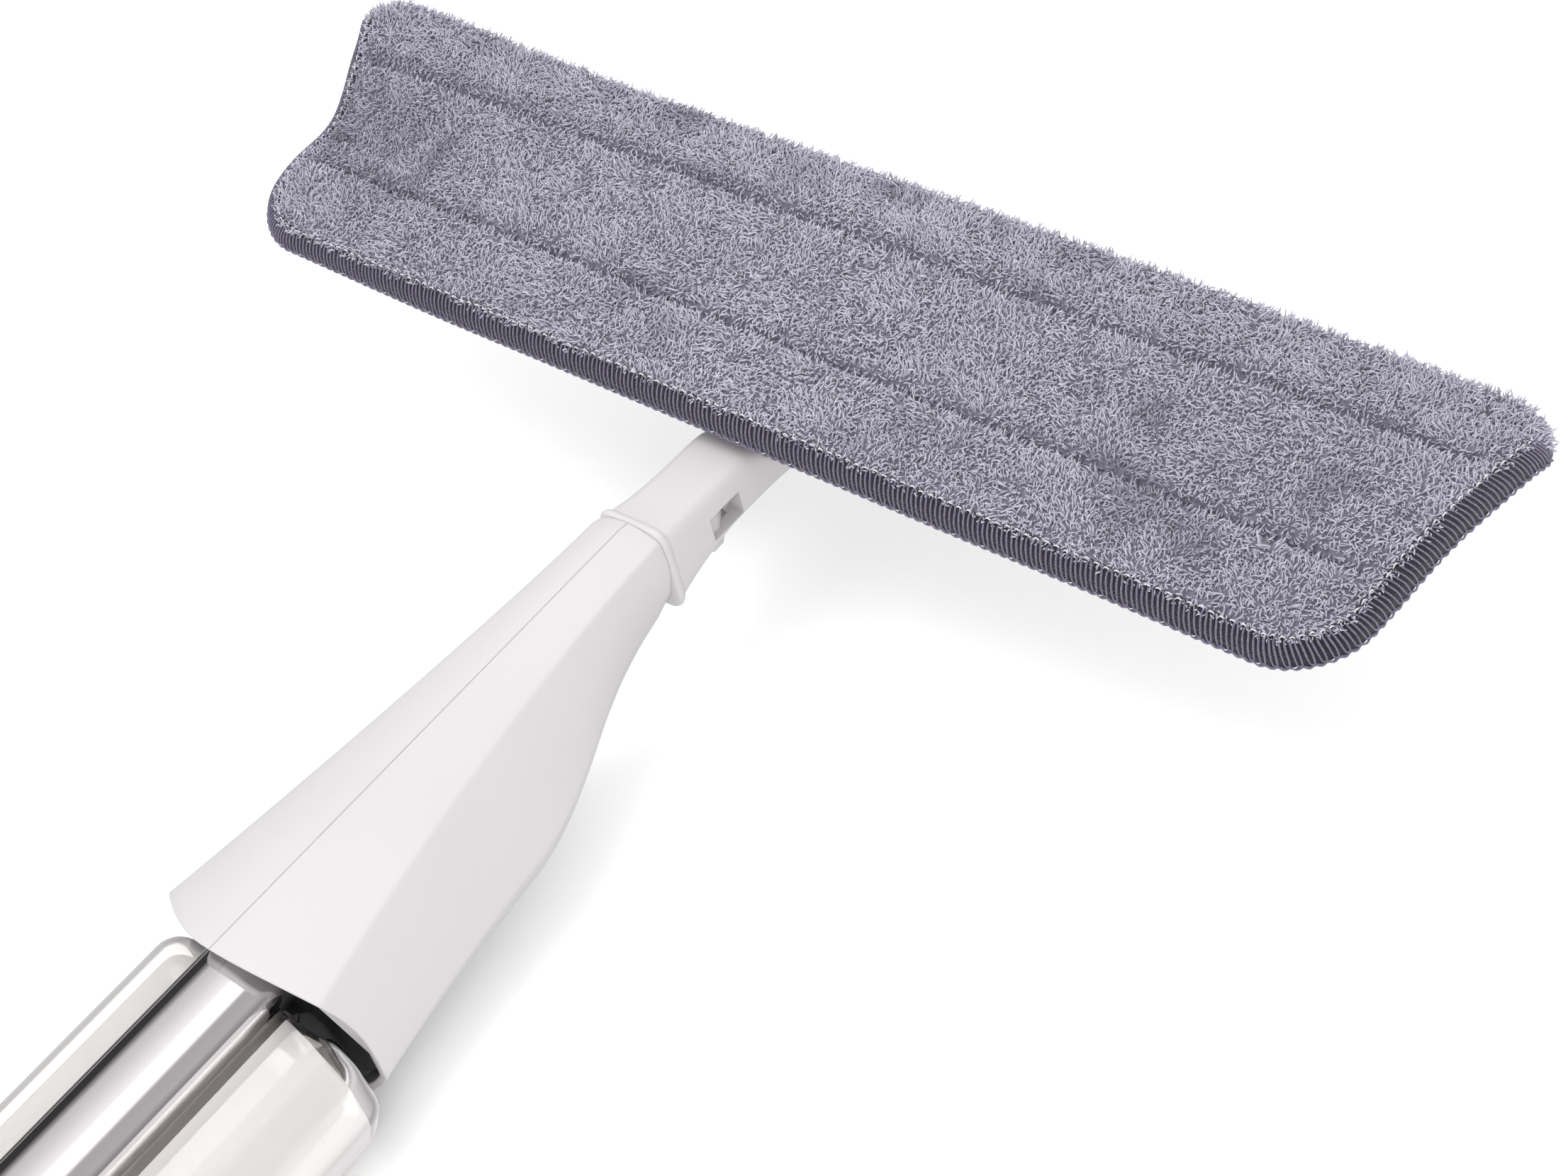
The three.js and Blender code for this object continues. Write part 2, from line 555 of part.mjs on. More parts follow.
const swivelBlock = barX(6.5, -8.9, 8.9, 0, 0, 28)
  .add(barY(6, -8.9, 8.9, ROLL_ABOVE, 0, 28))
  .add(block(-5.2, 5.2, -5.2, 5.2, 0, ROLL_ABOVE))
  .subtract(barX(PIN_R + 0.06, -12, 12, 0, 0))
  .subtract(barY(PIN_R + 0.06, -12, 12, ROLL_ABOVE));
put(swivel, "swivel_block", swivelBlock, "grey");
put(pole, "pitch_pin", barX(PIN_R, -14.4, 14.4, PITCH_PIN.y, PITCH_PIN.z), "steel");

put(pole, "neck", neck, "white");
put(pole, "collar_ring", collar, "white");
put(pole, "nozzle_body", nozzleBody, "white");
put(pole, "nozzle_tip", nozzleTip, "grey");
put(pole, "feed_hose", feedHose, "hose");
put(pole, "supply_hose", supplyHose, "hose");
put(pole, "pump_cylinder", pumpCylinder, "grey");
put(pole, "pump_piston", pumpPiston, "dark");
const spring = coil(4.6, 0.55, 6, -116.8, -92, "y", new THREE.Vector3());
put(pole, "pump_spring", spring, "steel");
put(pole, "housing_left", housingShell(-1), "white");
put(pole, "housing_right", housingShell(1), "white");
screws.forEach((s, i) => put(pole, `housing_screw_${i + 1}`, housingScrew(s), "steel"));
put(pole, "valve_socket", valveSocket, "grey");
put(pole, "bottle_seal", bottleSeal, "dark");
put(pole, "bottle", bottle, "clear");
put(pole, "bottle_cap", bottleCap, "dark");

put(pole, "lower_tube", tube(JOIN_Y + 0.2, TUBE_TOP), "chrome");
put(pole, "upper_tube", tube(tubeEnd, JOIN_Y - 0.2), "chrome");
put(pole, "tube_coupler", coupler, "white");
[-152, -560, tubeEnd + 44].forEach((y, i) => put(pole, `rod_bush_${i + 1}`, bush(y), "grey"));
put(pole, "pull_rod", barY(ROD_R, TRIGGER.y + 5, -134, 0, 0, 12), "steel");

put(pole, "grip_left", gripShell(-1), "white");
put(pole, "grip_right", gripShell(1), "white");
put(pole, "grip_screw", gripScrewBody(gripScrewAt), "steel");
put(pole, "trigger", trigger, "grey", [0, TRIGGER.y, TRIGGER.z]);
put(pole, "trigger_pin", barX(2, -12.8, 12.8, pinAt.y, pinAt.z), "steel");
const torsion = coil(3.2, 0.45, 2, -9.9, -8.2, "x", new THREE.Vector3(0, pinAt.y, pinAt.z));
put(pole, "trigger_spring", torsion, "steel");
put(pole, "heel", heel, "grey", [0, END_Y, 0]);

export default mop;
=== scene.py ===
"""Spray mop lying on its bottle with the microfibre pad upwards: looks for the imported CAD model."""

import json
import math

import bmesh
import bpy
import numpy as np
from mathutils import Matrix, Vector

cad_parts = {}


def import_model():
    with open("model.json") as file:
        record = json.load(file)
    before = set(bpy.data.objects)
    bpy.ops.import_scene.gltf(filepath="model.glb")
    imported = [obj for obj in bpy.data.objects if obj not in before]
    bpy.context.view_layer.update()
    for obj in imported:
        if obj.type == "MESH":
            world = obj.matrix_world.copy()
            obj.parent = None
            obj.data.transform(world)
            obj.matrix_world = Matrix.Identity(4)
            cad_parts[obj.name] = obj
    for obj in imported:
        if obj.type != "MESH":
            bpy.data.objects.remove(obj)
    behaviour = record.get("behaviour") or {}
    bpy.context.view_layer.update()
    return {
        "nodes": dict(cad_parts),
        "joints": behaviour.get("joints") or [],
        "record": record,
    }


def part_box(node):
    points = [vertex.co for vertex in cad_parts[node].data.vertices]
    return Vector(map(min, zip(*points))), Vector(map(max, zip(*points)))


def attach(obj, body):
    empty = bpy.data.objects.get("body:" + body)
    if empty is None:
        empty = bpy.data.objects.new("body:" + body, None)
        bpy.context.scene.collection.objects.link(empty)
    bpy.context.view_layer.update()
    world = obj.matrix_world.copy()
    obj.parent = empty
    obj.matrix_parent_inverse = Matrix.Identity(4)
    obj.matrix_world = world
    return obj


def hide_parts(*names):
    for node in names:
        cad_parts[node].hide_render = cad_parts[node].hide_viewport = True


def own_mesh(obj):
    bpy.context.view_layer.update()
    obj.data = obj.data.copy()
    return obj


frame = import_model()
MM = 0.001
NODES = frame["nodes"]
JOINT = {j["name"]: j for j in frame["joints"]}
RNG = np.random.default_rng(7)


# ---------- places ----------
# The pole's own frame has its origin on the pole's axis; the pitch pin is at y 34.9, z -1.35 in it.
PITCH = np.array(JOINT["head_pitch"]["pos_m"])
ORIGIN = PITCH - np.array([0, 34.9, -1.35]) * MM
# The head's frame lies in the pad's border plane: u along the pad, v across it, h out of its face.
V_AXIS = np.array(JOINT["head_roll"]["axis"], float)
V_AXIS /= np.linalg.norm(V_AXIS)
H_AXIS = np.array(next(m for m in frame["record"]["mounts"] if m["name"] == "pad_face")["axis"], float)
H_AXIS /= np.linalg.norm(H_AXIS)
U_AXIS = np.cross(V_AXIS, H_AXIS)
PAD_CENTRE = np.array(JOINT["head_roll"]["pos_m"]) + 18 * MM * H_AXIS


def pole_at(points):
    return ORIGIN + np.asarray(points, float) * MM


def head_at(points):
    p = np.asarray(points, float) * MM
    return PAD_CENTRE + p[..., :1] * U_AXIS + p[..., 1:2] * V_AXIS + p[..., 2:] * H_AXIS


def mix(a, b, t):
    return a + (b - a) * t


def smooth(t):
    t = np.clip(t, 0, 1)
    return t * t * (3 - 2 * t)


def spline(xs, ys, x):
    """Smooth curve through the points (xs, ys), with xs rising."""
    xs, ys = np.asarray(xs, float), np.asarray(ys, float)
    slope = np.gradient(ys, xs)
    k = np.clip(np.searchsorted(xs, x) - 1, 0, len(xs) - 2)
    w = xs[k + 1] - xs[k]
    t = (x - xs[k]) / w
    a, b = t * t * (3 - 2 * t), t * (1 - t)
    return mix(ys[k], ys[k + 1], a) + w * b * (slope[k] * (1 - t) - slope[k + 1] * t)


# Smooth value noise on a plane, the same on every run.
LATTICE = RNG.random((256, 256))


def noise(u, v, scale, seed=0):
    x, y = np.asarray(u) / scale + 37.3 * seed + 91, np.asarray(v) / scale + 17.7 * seed + 57
    i, j = np.floor(x).astype(int), np.floor(y).astype(int)
    a, b = smooth(x - i), smooth(y - j)
    g = LATTICE
    i, j, i1, j1 = i % 256, j % 256, (i + 1) % 256, (j + 1) % 256
    return mix(mix(g[i, j], g[i1, j], a), mix(g[i, j1], g[i1, j1], a), b) * 2 - 1


# ---------- meshes ----------
def piece(name, points, faces, material, body, slot):
    """One smooth object from points in metres and faces, riding on a CAD body if one is named."""
    mesh = bpy.data.meshes.new(name)
    points = np.asarray(points, np.float32).reshape(-1, 3)
    mesh.vertices.add(len(points))
    mesh.vertices.foreach_set("co", points.ravel())
    sizes = np.array([len(f) for f in faces], np.int32)
    loops = np.concatenate([np.asarray(f, np.int32) for f in faces]) if len(set(sizes)) > 1 else (
        np.asarray(faces, np.int32).ravel())
    mesh.loops.add(len(loops))
    mesh.loops.foreach_set("vertex_index", loops)
    mesh.polygons.add(len(sizes))
    mesh.polygons.foreach_set("loop_start", np.concatenate([[0], np.cumsum(sizes)[:-1]]).astype(np.int32))
    mesh.polygons.foreach_set("use_smooth", np.ones(len(sizes), bool))
    mesh.update(calc_edges=True)
    mesh.validate()
    mesh.materials.append(material)
    made = bpy.data.objects.new(name, mesh)
    bpy.context.scene.collection.objects.link(made)
    if body:
        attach(made, body)
    return made


def loft(rings, caps=True):
    """Points and faces through rings (k, n, 3) that close on themselves."""
    rings = np.asarray(rings, float)
    k, n = rings.shape[:2]
    i = np.arange(n)
    a = (np.arange(k - 1)[:, None] * n + i[None]).reshape(-1)
    b = (np.arange(k - 1)[:, None] * n + ((i + 1) % n)[None]).reshape(-1)
    faces = np.stack([a, b, b + n, a + n], 1).tolist()
    if caps:
        faces += [list(range(n))[::-1], list(range((k - 1) * n, k * n))]
    return rings.reshape(-1, 3), faces


def joined(*parts):
    """Several (points, faces) as one."""
    points, faces, start = [], [], 0
    for p, f in parts:
        points.append(np.asarray(p).reshape(-1, 3))
        faces += [[i + start for i in face] for face in f]
        start += len(points[-1])
    return np.concatenate(points), faces


def tube_mesh(path, radius, sides=6, closed=False):
    """Round thread along a path (n, 3) in metres; radius is a number or one per point."""
    path = np.asarray(path, float)
    if closed:
        tangent = np.roll(path, -1, 0) - np.roll(path, 1, 0)
    else:
        tangent = np.gradient(path, axis=0)
    tangent /= np.linalg.norm(tangent, axis=1)[:, None] + 1e-12
    up = np.broadcast_to(H_AXIS, path.shape)
    side = np.cross(tangent, up)
    side /= np.linalg.norm(side, axis=1)[:, None] + 1e-12
    up = np.cross(side, tangent)
    a = np.arange(sides) / sides * 2 * math.pi
    r = np.broadcast_to(radius, len(path))[:, None, None]
    rings = path[:, None] + r * (np.cos(a)[None, :, None] * side[:, None] + np.sin(a)[None, :, None] * up[:, None])
    if closed:
        rings = np.concatenate([rings, rings[:1]])
    return loft(rings, caps=not closed)


def recalc(made):
    """Welds a piece and turns its faces outwards."""
    work = bmesh.new()
    work.from_mesh(made.data)
    bmesh.ops.remove_doubles(work, verts=work.verts, dist=1e-6)
    bmesh.ops.recalc_face_normals(work, faces=work.faces)
    work.to_mesh(made.data)
    work.free()
    return made


def carve(made, *cutters):
    """Cuts solids, given as (points, faces), out of a piece."""
    recalc(made)
    tools = []
    for i, (points, faces) in enumerate(cutters):
        tool = recalc(piece(f"cutter_{i}", points, faces, made.data.materials[0], None, None))
        tools.append(tool)
        change = made.modifiers.new("cut", "BOOLEAN")
        change.object, change.operation, change.solver = tool, "DIFFERENCE", "EXACT"
    bpy.context.view_layer.update()
    result = bpy.data.meshes.new_from_object(made.evaluated_get(bpy.context.evaluated_depsgraph_get()))
    made.modifiers.clear()
    made.data = result
    for tool in tools:
        bpy.data.objects.remove(tool)
    return made


def box_solid(x0, x1, y0, y1, z0, z1):
    corners = ((x0, y0), (x1, y0), (x1, y1), (x0, y1))
    return loft([[(*c, z) for c in corners] for z in (z0, z1)])


def bar_across(radius, x0, x1, y, z, sides=40):
    """A round bar along x in the pole's frame, as (points, faces) in metres."""
    t = np.arange(sides) / sides * 2 * math.pi
    points, faces = loft([np.stack([np.full(sides, float(x)), y + radius * np.cos(t), z + radius * np.sin(t)], 1)
                          for x in (x0, x1)])
    return pole_at(points), faces


def soft_edges():
    """Node group that shades smooth and keeps the edges over 32 degrees crisp."""
    group = bpy.data.node_groups.new("soft_edges", "GeometryNodeTree")
    group.interface.new_socket("Geometry", in_out="INPUT", socket_type="NodeSocketGeometry")
    group.interface.new_socket("Geometry", in_out="OUTPUT", socket_type="NodeSocketGeometry")
    add, link = group.nodes.new, group.links.new
    start, end = add("NodeGroupInput"), add("NodeGroupOutput")
    weld = add("GeometryNodeMergeByDistance")
    weld.inputs["Distance"].default_value = 2e-6
    faces, edges = add("GeometryNodeSetShadeSmooth"), add("GeometryNodeSetShadeSmooth")
    faces.domain, edges.domain = "FACE", "EDGE"
    faces.inputs["Shade Smooth"].default_value = True
    edges.inputs["Shade Smooth"].default_value = False
    angle, over = add("GeometryNodeInputMeshEdgeAngle"), add("FunctionNodeCompare")
    over.data_type, over.operation = "FLOAT", "GREATER_THAN"
    over.inputs["B"].default_value = math.radians(32)
    link(start.outputs[0], weld.inputs["Geometry"])
    link(weld.outputs[0], faces.inputs["Geometry"])
    link(faces.outputs[0], edges.inputs["Geometry"])
    link(angle.outputs["Unsigned Angle"], over.inputs["A"])
    link(over.outputs["Result"], edges.inputs["Selection"])
    link(edges.outputs[0], end.inputs[0])
    return group


SOFT = soft_edges()


def soften(made):
    made.modifiers.new("soft_edges", "NODES").node_group = SOFT
    return made


# ---------- materials ----------
class Look:
    """A Principled material whose nodes are added one at a time."""

    def __init__(self, name, color, roughness, metallic=0.0, **more):
        self.material = bpy.data.materials.new(name)
        self.material.use_nodes = True
        self.tree = self.material.node_tree
        self.shader = self.tree.nodes["Principled BSDF"]
        self.set("Base Color", (*color, 1))
        self.set("Roughness", roughness)
        self.set("Metallic", metallic)
        for socket, value in more.items():
            self.set(socket.replace("_", " "), value)
        self.place = self.add("TexCoord").outputs["Object"]
        self.bumps = None

    def set(self, socket, value):
        self.shader.inputs[socket].default_value = value

    def add(self, kind, inputs=None, **facts):
        node = self.tree.nodes.new("ShaderNode" + kind)
        for key, value in facts.items():
            setattr(node, key, value)
        for key, value in (inputs or {}).items():
            if isinstance(value, bpy.types.NodeSocket):
                self.tree.links.new(value, node.inputs[key])
            else:
                node.inputs[key].default_value = value
        return node

    def link(self, out, socket):
        self.tree.links.new(out, self.shader.inputs[socket])

    def stretched(self, scale):
        return self.add("Mapping", {"Vector": self.place, "Scale": scale}).outputs[0]

    def noise(self, scale, detail=3, place=None, roughness=0.55):
        return self.add("TexNoise", {"Vector": place or self.place, "Scale": scale, "Detail": detail,
                                     "Roughness": roughness}).outputs["Fac"]

    def ramp(self, fac, *stops):
        node = self.add("ValToRGB", {"Fac": fac})
        ramp = node.color_ramp
        while len(ramp.elements) < len(stops):
            ramp.elements.new(0.5)
        for element, (at, color) in zip(ramp.elements, stops):
            element.position = at
            element.color = (*color, 1)
        return node.outputs["Color"]

    def spread(self, fac, low, high):
        return self.add("MapRange", {"Value": fac, "From Min": 0.3, "From Max": 0.7,
                                     "To Min": low, "To Max": high}).outputs["Result"]

    def bump(self, height, distance, strength=1.0):
        inputs = {"Height": height, "Distance": distance, "Strength": strength}
        if self.bumps:
            inputs["Normal"] = self.bumps
        self.bumps = self.add("Bump", inputs).outputs["Normal"]
        self.link(self.bumps, "Normal")

    def rounded(self, radius):
        """Light catches the edges as if they had this radius."""
        self.bumps = self.add("Bevel", {"Radius": radius}, samples=4).outputs["Normal"]
        self.link(self.bumps, "Normal")


def plastic(name, low, high, roughness, grain=0.00003, edge=0.0004):
    """Moulded plastic: faint cloudiness, fine spark-eroded grain, small scuffs."""
    look = Look(name, low, roughness)
    cloud = look.noise(14, 4)
    look.link(look.ramp(cloud, (0.35, low), (0.65, high)), "Base Color")
    scuff = look.noise(260, 2, look.stretched((1, 0.25, 1)))
    look.link(look.spread(scuff, roughness - 0.05, roughness + 0.07), "Roughness")
    look.rounded(edge)
    look.bump(look.noise(1500, 2), grain, 0.35)
    look.bump(look.noise(45, 1), 0.0002, 0.12)
    return look.material


def chrome_look():
    look = Look("chrome", (0.90, 0.875, 0.88), 0.05, 1.0)
    cloud = look.noise(9, 3, look.stretched((1, 0.2, 1)))
    look.link(look.ramp(cloud, (0.3, (0.86, 0.83, 0.84)), (0.7, (0.93, 0.91, 0.915))), "Base Color")
    drawn = look.noise(900, 3, look.stretched((1, 0.008, 1)))
    look.link(look.spread(drawn, 0.03, 0.13), "Roughness")
    look.bump(drawn, 0.00001, 0.25)
    look.bump(look.noise(70, 1, look.stretched((1, 0.1, 1))), 0.00008, 0.25)
    return look.material


def steel_look():
    look = Look("steel", (0.55, 0.55, 0.56), 0.32, 1.0)
    turned = look.noise(1200, 2, look.stretched((1, 0.05, 1)))
    look.link(look.spread(turned, 0.22, 0.42), "Roughness")
    look.link(look.ramp(look.noise(120), (0.3, (0.46, 0.46, 0.47)), (0.7, (0.62, 0.62, 0.63))), "Base Color")
    look.rounded(0.0002)
    look.bump(turned, 0.00001, 0.4)
    return look.material


def clear_look(name="clear_plastic", through=0.62, ior=1.25):
    look = Look(name, (0.97, 0.96, 0.95), 0.05, IOR=ior, Transmission_Weight=through)
    tint = look.noise(10, 2)
    look.link(look.ramp(tint, (0.3, (0.90, 0.88, 0.865)), (0.7, (0.93, 0.915, 0.90))), "Base Color")
    look.link(look.spread(look.noise(200, 2), 0.02, 0.06), "Roughness")
    look.bump(look.noise(30, 1, look.stretched((1, 0.3, 1))), 0.0004, 0.06)
    return look.material


def hose_look():
    look = Look("hose", (0.74, 0.77, 0.79), 0.25, Transmission_Weight=0.6)
    look.link(look.spread(look.noise(300), 0.2, 0.35), "Roughness")
    look.bump(look.noise(700, 2), 0.00005, 0.3)
    return look.material


def fibre_look(name, dark, light, tip):
    """Pile: painted shade makes it dark at the root and lighter at the tip, with a tint of its own for each tuft."""
    look = Look(name, light, 0.9, Sheen_Weight=0.35, Sheen_Roughness=0.45)
    shade = look.add("Attribute", attribute_name="shade").outputs["Fac"]
    look.link(look.ramp(shade, (0.0, dark), (0.55, light), (1.0, tip)), "Base Color")
    look.bump(look.noise(2600, 2), 0.00012, 0.6)
    return look.material


def cloth_look(name, dark, light, scale=900):
    """Knitted backing: small stitches in rows over a cloudy colour."""
    look = Look(name, light, 0.92, Sheen_Weight=0.25)
    rows = look.add("TexWave", {"Vector": look.place, "Scale": scale, "Distortion": 3.0, "Detail": 2.0},
                    bands_direction="Y").outputs["Fac"]
    speck = look.noise(scale, 3)
    look.link(look.ramp(speck, (0.3, dark), (0.7, light)), "Base Color")
    look.bump(rows, 0.0003, 0.6)
    look.bump(speck, 0.0003, 0.5)
    return look.material


def thread_look(name, dark, light):
    """Bulky sewing thread: fine plies across its run."""
    look = Look(name, light, 0.8, Sheen_Weight=0.3)
    ply = look.noise(3200, 3, look.stretched((1, 0.45, 1)))
    look.link(look.ramp(ply, (0.3, dark), (0.68, light)), "Base Color")
    look.bump(ply, 0.00025, 0.8)
    return look.material


WHITE = plastic("white_plastic", (0.515, 0.502, 0.508), (0.530, 0.517, 0.523), 0.38)
GREY = plastic("grey_plastic", (0.20, 0.195, 0.21), (0.24, 0.235, 0.25), 0.5)
DARK = plastic("dark_rubber", (0.012, 0.012, 0.014), (0.022, 0.021, 0.024), 0.62, 0.00008)
CHROME, STEEL, CLEAR, HOSE = chrome_look(), steel_look(), clear_look(), hose_look()
SHOULDER = clear_look("clear_shoulder", 1.0, 1.4)
PILE = fibre_look("pile", (0.17, 0.162, 0.215), (0.43, 0.42, 0.50), (0.60, 0.59, 0.66))
GROUND = cloth_look("pad_ground", (0.12, 0.113, 0.155), (0.22, 0.21, 0.27))
BACKING = cloth_look("pad_backing", (0.16, 0.15, 0.18), (0.25, 0.235, 0.27), 700)
BINDING = cloth_look("binding", (0.006, 0.005, 0.010), (0.016, 0.013, 0.024), 1300)
THREAD = thread_look("overlock_thread", (0.075, 0.064, 0.108), (0.19, 0.17, 0.245))
NEEDLE = thread_look("needle_thread", (0.45, 0.44, 0.47), (0.75, 0.74, 0.77))
HOOK = cloth_look("hook_tape", (0.50, 0.50, 0.51), (0.66, 0.66, 0.67), 1600)

# ---------- pad ----------
PAD = {"length": 389.0, "width": 99.6, "flare": 10.9, "corner": 19.0, "back": -2.5}
CHANNEL = 19.8  # sewn channels either side of the middle lane
SEWN_WIDTH, SEWN_DEPTH = 1.35, 3.0
BORDER = 5.0  # overlocked border, seen from above
STITCH = 2.95  # from one overlock stitch to the next
SPACING = 0.87  # from tuft to tuft
MOST_TUFTS = 7800  # in one piece


def pad_flare(v):
    return 1 + 4 * PAD["flare"] * v / (PAD["length"] * PAD["width"])


def half_length(v):
    """Half of the pad's length at v, rounded corners included."""
    a, b, r = PAD["length"] / 2, PAD["width"] / 2, PAD["corner"]
    over = np.clip(np.abs(v) - (b - r), 0, r)
    return (a - r + np.sqrt(np.maximum(r * r - over * over, 0))) * pad_flare(v)


def pad_edge(count):
    """The pad's outline from its near right corner round, evenly spaced, and its outward normals."""
    a, b, r = PAD["length"] / 2, PAD["width"] / 2, PAD["corner"]
    points = []
    for cu, cv, start in ((a - r, -b + r, -90), (a - r, b - r, 0), (-a + r, b - r, 90), (-a + r, -b + r, 180)):
        for t in np.radians(np.linspace(start, start + 90, 40)):
            points.append((cu + r * math.cos(t), cv + r * math.sin(t)))
    p = np.array(points)
    p[:, 0] *= pad_flare(p[:, 1])
    p = np.concatenate([p, p[:1]])
    along = np.concatenate([[0], np.cumsum(np.linalg.norm(np.diff(p, axis=0), axis=1))])
    t = np.arange(count) / count * along[-1]
    even = np.stack([np.interp(t, along, p[:, k]) for k in (0, 1)], 1)
    tangent = np.roll(even, -1, 0) - np.roll(even, 1, 0)
    normal = np.stack([tangent[:, 1], -tangent[:, 0]], 1)
    return even, normal / np.linalg.norm(normal, axis=1)[:, None], along[-1]


EDGE, EDGE_OUT, EDGE_LENGTH = pad_edge(720)


def edge_distance(u, v):
    """Distance inside the pad's outline."""
    v = np.clip(v, -PAD["width"] / 2, PAD["width"] / 2)
    a, b, r = PAD["length"] / 2, PAD["width"] / 2, PAD["corner"]
    x, y = np.abs(u / pad_flare(v)) - (a - r), np.abs(v) - (b - r)
    corner = r - np.hypot(np.maximum(x, 0), np.maximum(y, 0))
    return np.where((x > 0) & (y > 0), corner, r - np.maximum(x, y))


def warp(u, v):
    """How the soft pad strays from flat, as (u, v, h) offsets: its ends curl past the plate."""
    left, right = smooth((-u - 95) / 95), smooth((u - 95) / 95)
    far, near = smooth((v - 8) / 38), smooth((-v - 8) / 38)
    hollow = np.exp(-((v + 3) / 17) ** 2)
    h = left * (4.6 * far - 3.2 * hollow + 0.6 * near) + right * (-2.3 * far + 1.5 * hollow - 0.8 * near)
    h = h + 0.5 * noise(u, v, 46, 1) * smooth(np.abs(u) / 60)
    du = left * (3.6 * hollow - 1.2 * near) - right * 0.6 * hollow
    dv = left * 0.9 * near - 6.4 * smooth((v - 22) / 24)
    return du, dv, h


RIM = ([-1, 0, 0.3, 0.9, 1.9, 3.2, 4.8, 7, 13, 60], [0, 0, 1.4, 2.9, 4.1, 4.9, 5.3, 5.5, 5.6, 5.6])


def face_height(u, v):
    """Height of the pad's cloth over its border plane: crowned lanes between sewn channels."""
    d = edge_distance(u, v)
    rise = smooth((d - 5) / 6)
    fade = smooth((PAD["length"] / 2 - 20 - np.abs(u)) / 14)
    sewn = np.exp(-((np.abs(v) - CHANNEL) / SEWN_WIDTH) ** 2) * smooth((d - 7) / 5)
    lane = np.where(np.abs(v) < CHANNEL, 1 - (v / CHANNEL) ** 2, 1 - ((np.abs(v) - 30) / 12) ** 2)
    crown = 0.55 * np.clip(lane, 0, 1) * fade + 0.35 * noise(u, v, 22, 2) + 0.3 * noise(u, v, 9, 3)
    return np.interp(d, *RIM) + rise * crown - SEWN_DEPTH * sewn * rise


def on_pad(u, v, h):
    """A place on the warped pad, in metres."""
    du, dv, dh = warp(u, v)
    h = h * (1 - 0.4 * smooth((-u - 115) / 75) * smooth((-v - 15) / 30))
    # The back stays flat against the plate away from the edge, and only the face follows the warp.
    inner = smooth((edge_distance(u, v) - 14) / 10)
    dh = dh * mix(1, smooth((h + 2.5) / 4), inner)
    return head_at(np.stack(np.broadcast_arrays(u + du, v + dv, h + dh), -1))


def pad_body():
    """Crowned face and flat back on one grid, closed round the edge."""
    columns, b = 260, PAD["width"] / 2
    rows = b * np.sin(np.linspace(-math.pi / 2, math.pi / 2, 84))
    s = np.linspace(-1, 1, columns)
    v = np.repeat(rows[:, None], columns, 1)
    u = s[None] * half_length(v)
    edge = (np.abs(s)[None] == 1) | (np.abs(v) >= b - 1e-9)
    top = np.where(edge, 0.0, face_height(u, v))
    bottom = np.where(edge, 0.0, mix(0, PAD["back"], smooth(edge_distance(u, v) / 4)))
    grid = np.arange(len(rows) * columns).reshape(len(rows), columns)
    quads = np.stack([grid[:-1, :-1], grid[:-1, 1:], grid[1:, 1:], grid[1:, :-1]], -1).reshape(-1, 4)
    n = grid.size
    points = np.concatenate([on_pad(u, v, top).reshape(-1, 3), on_pad(u, v, bottom).reshape(-1, 3)])
    made = piece("pad_cloth", points, np.concatenate([quads, quads[:, ::-1] + n]), GROUND, "head", "microfibre")
    made.data.materials.append(BACKING)
    index = np.zeros(len(quads) * 2, np.int32)
    index[len(quads):] = 1
    made.data.polygons.foreach_set("material_index", index)
    recalc(made)
    return made


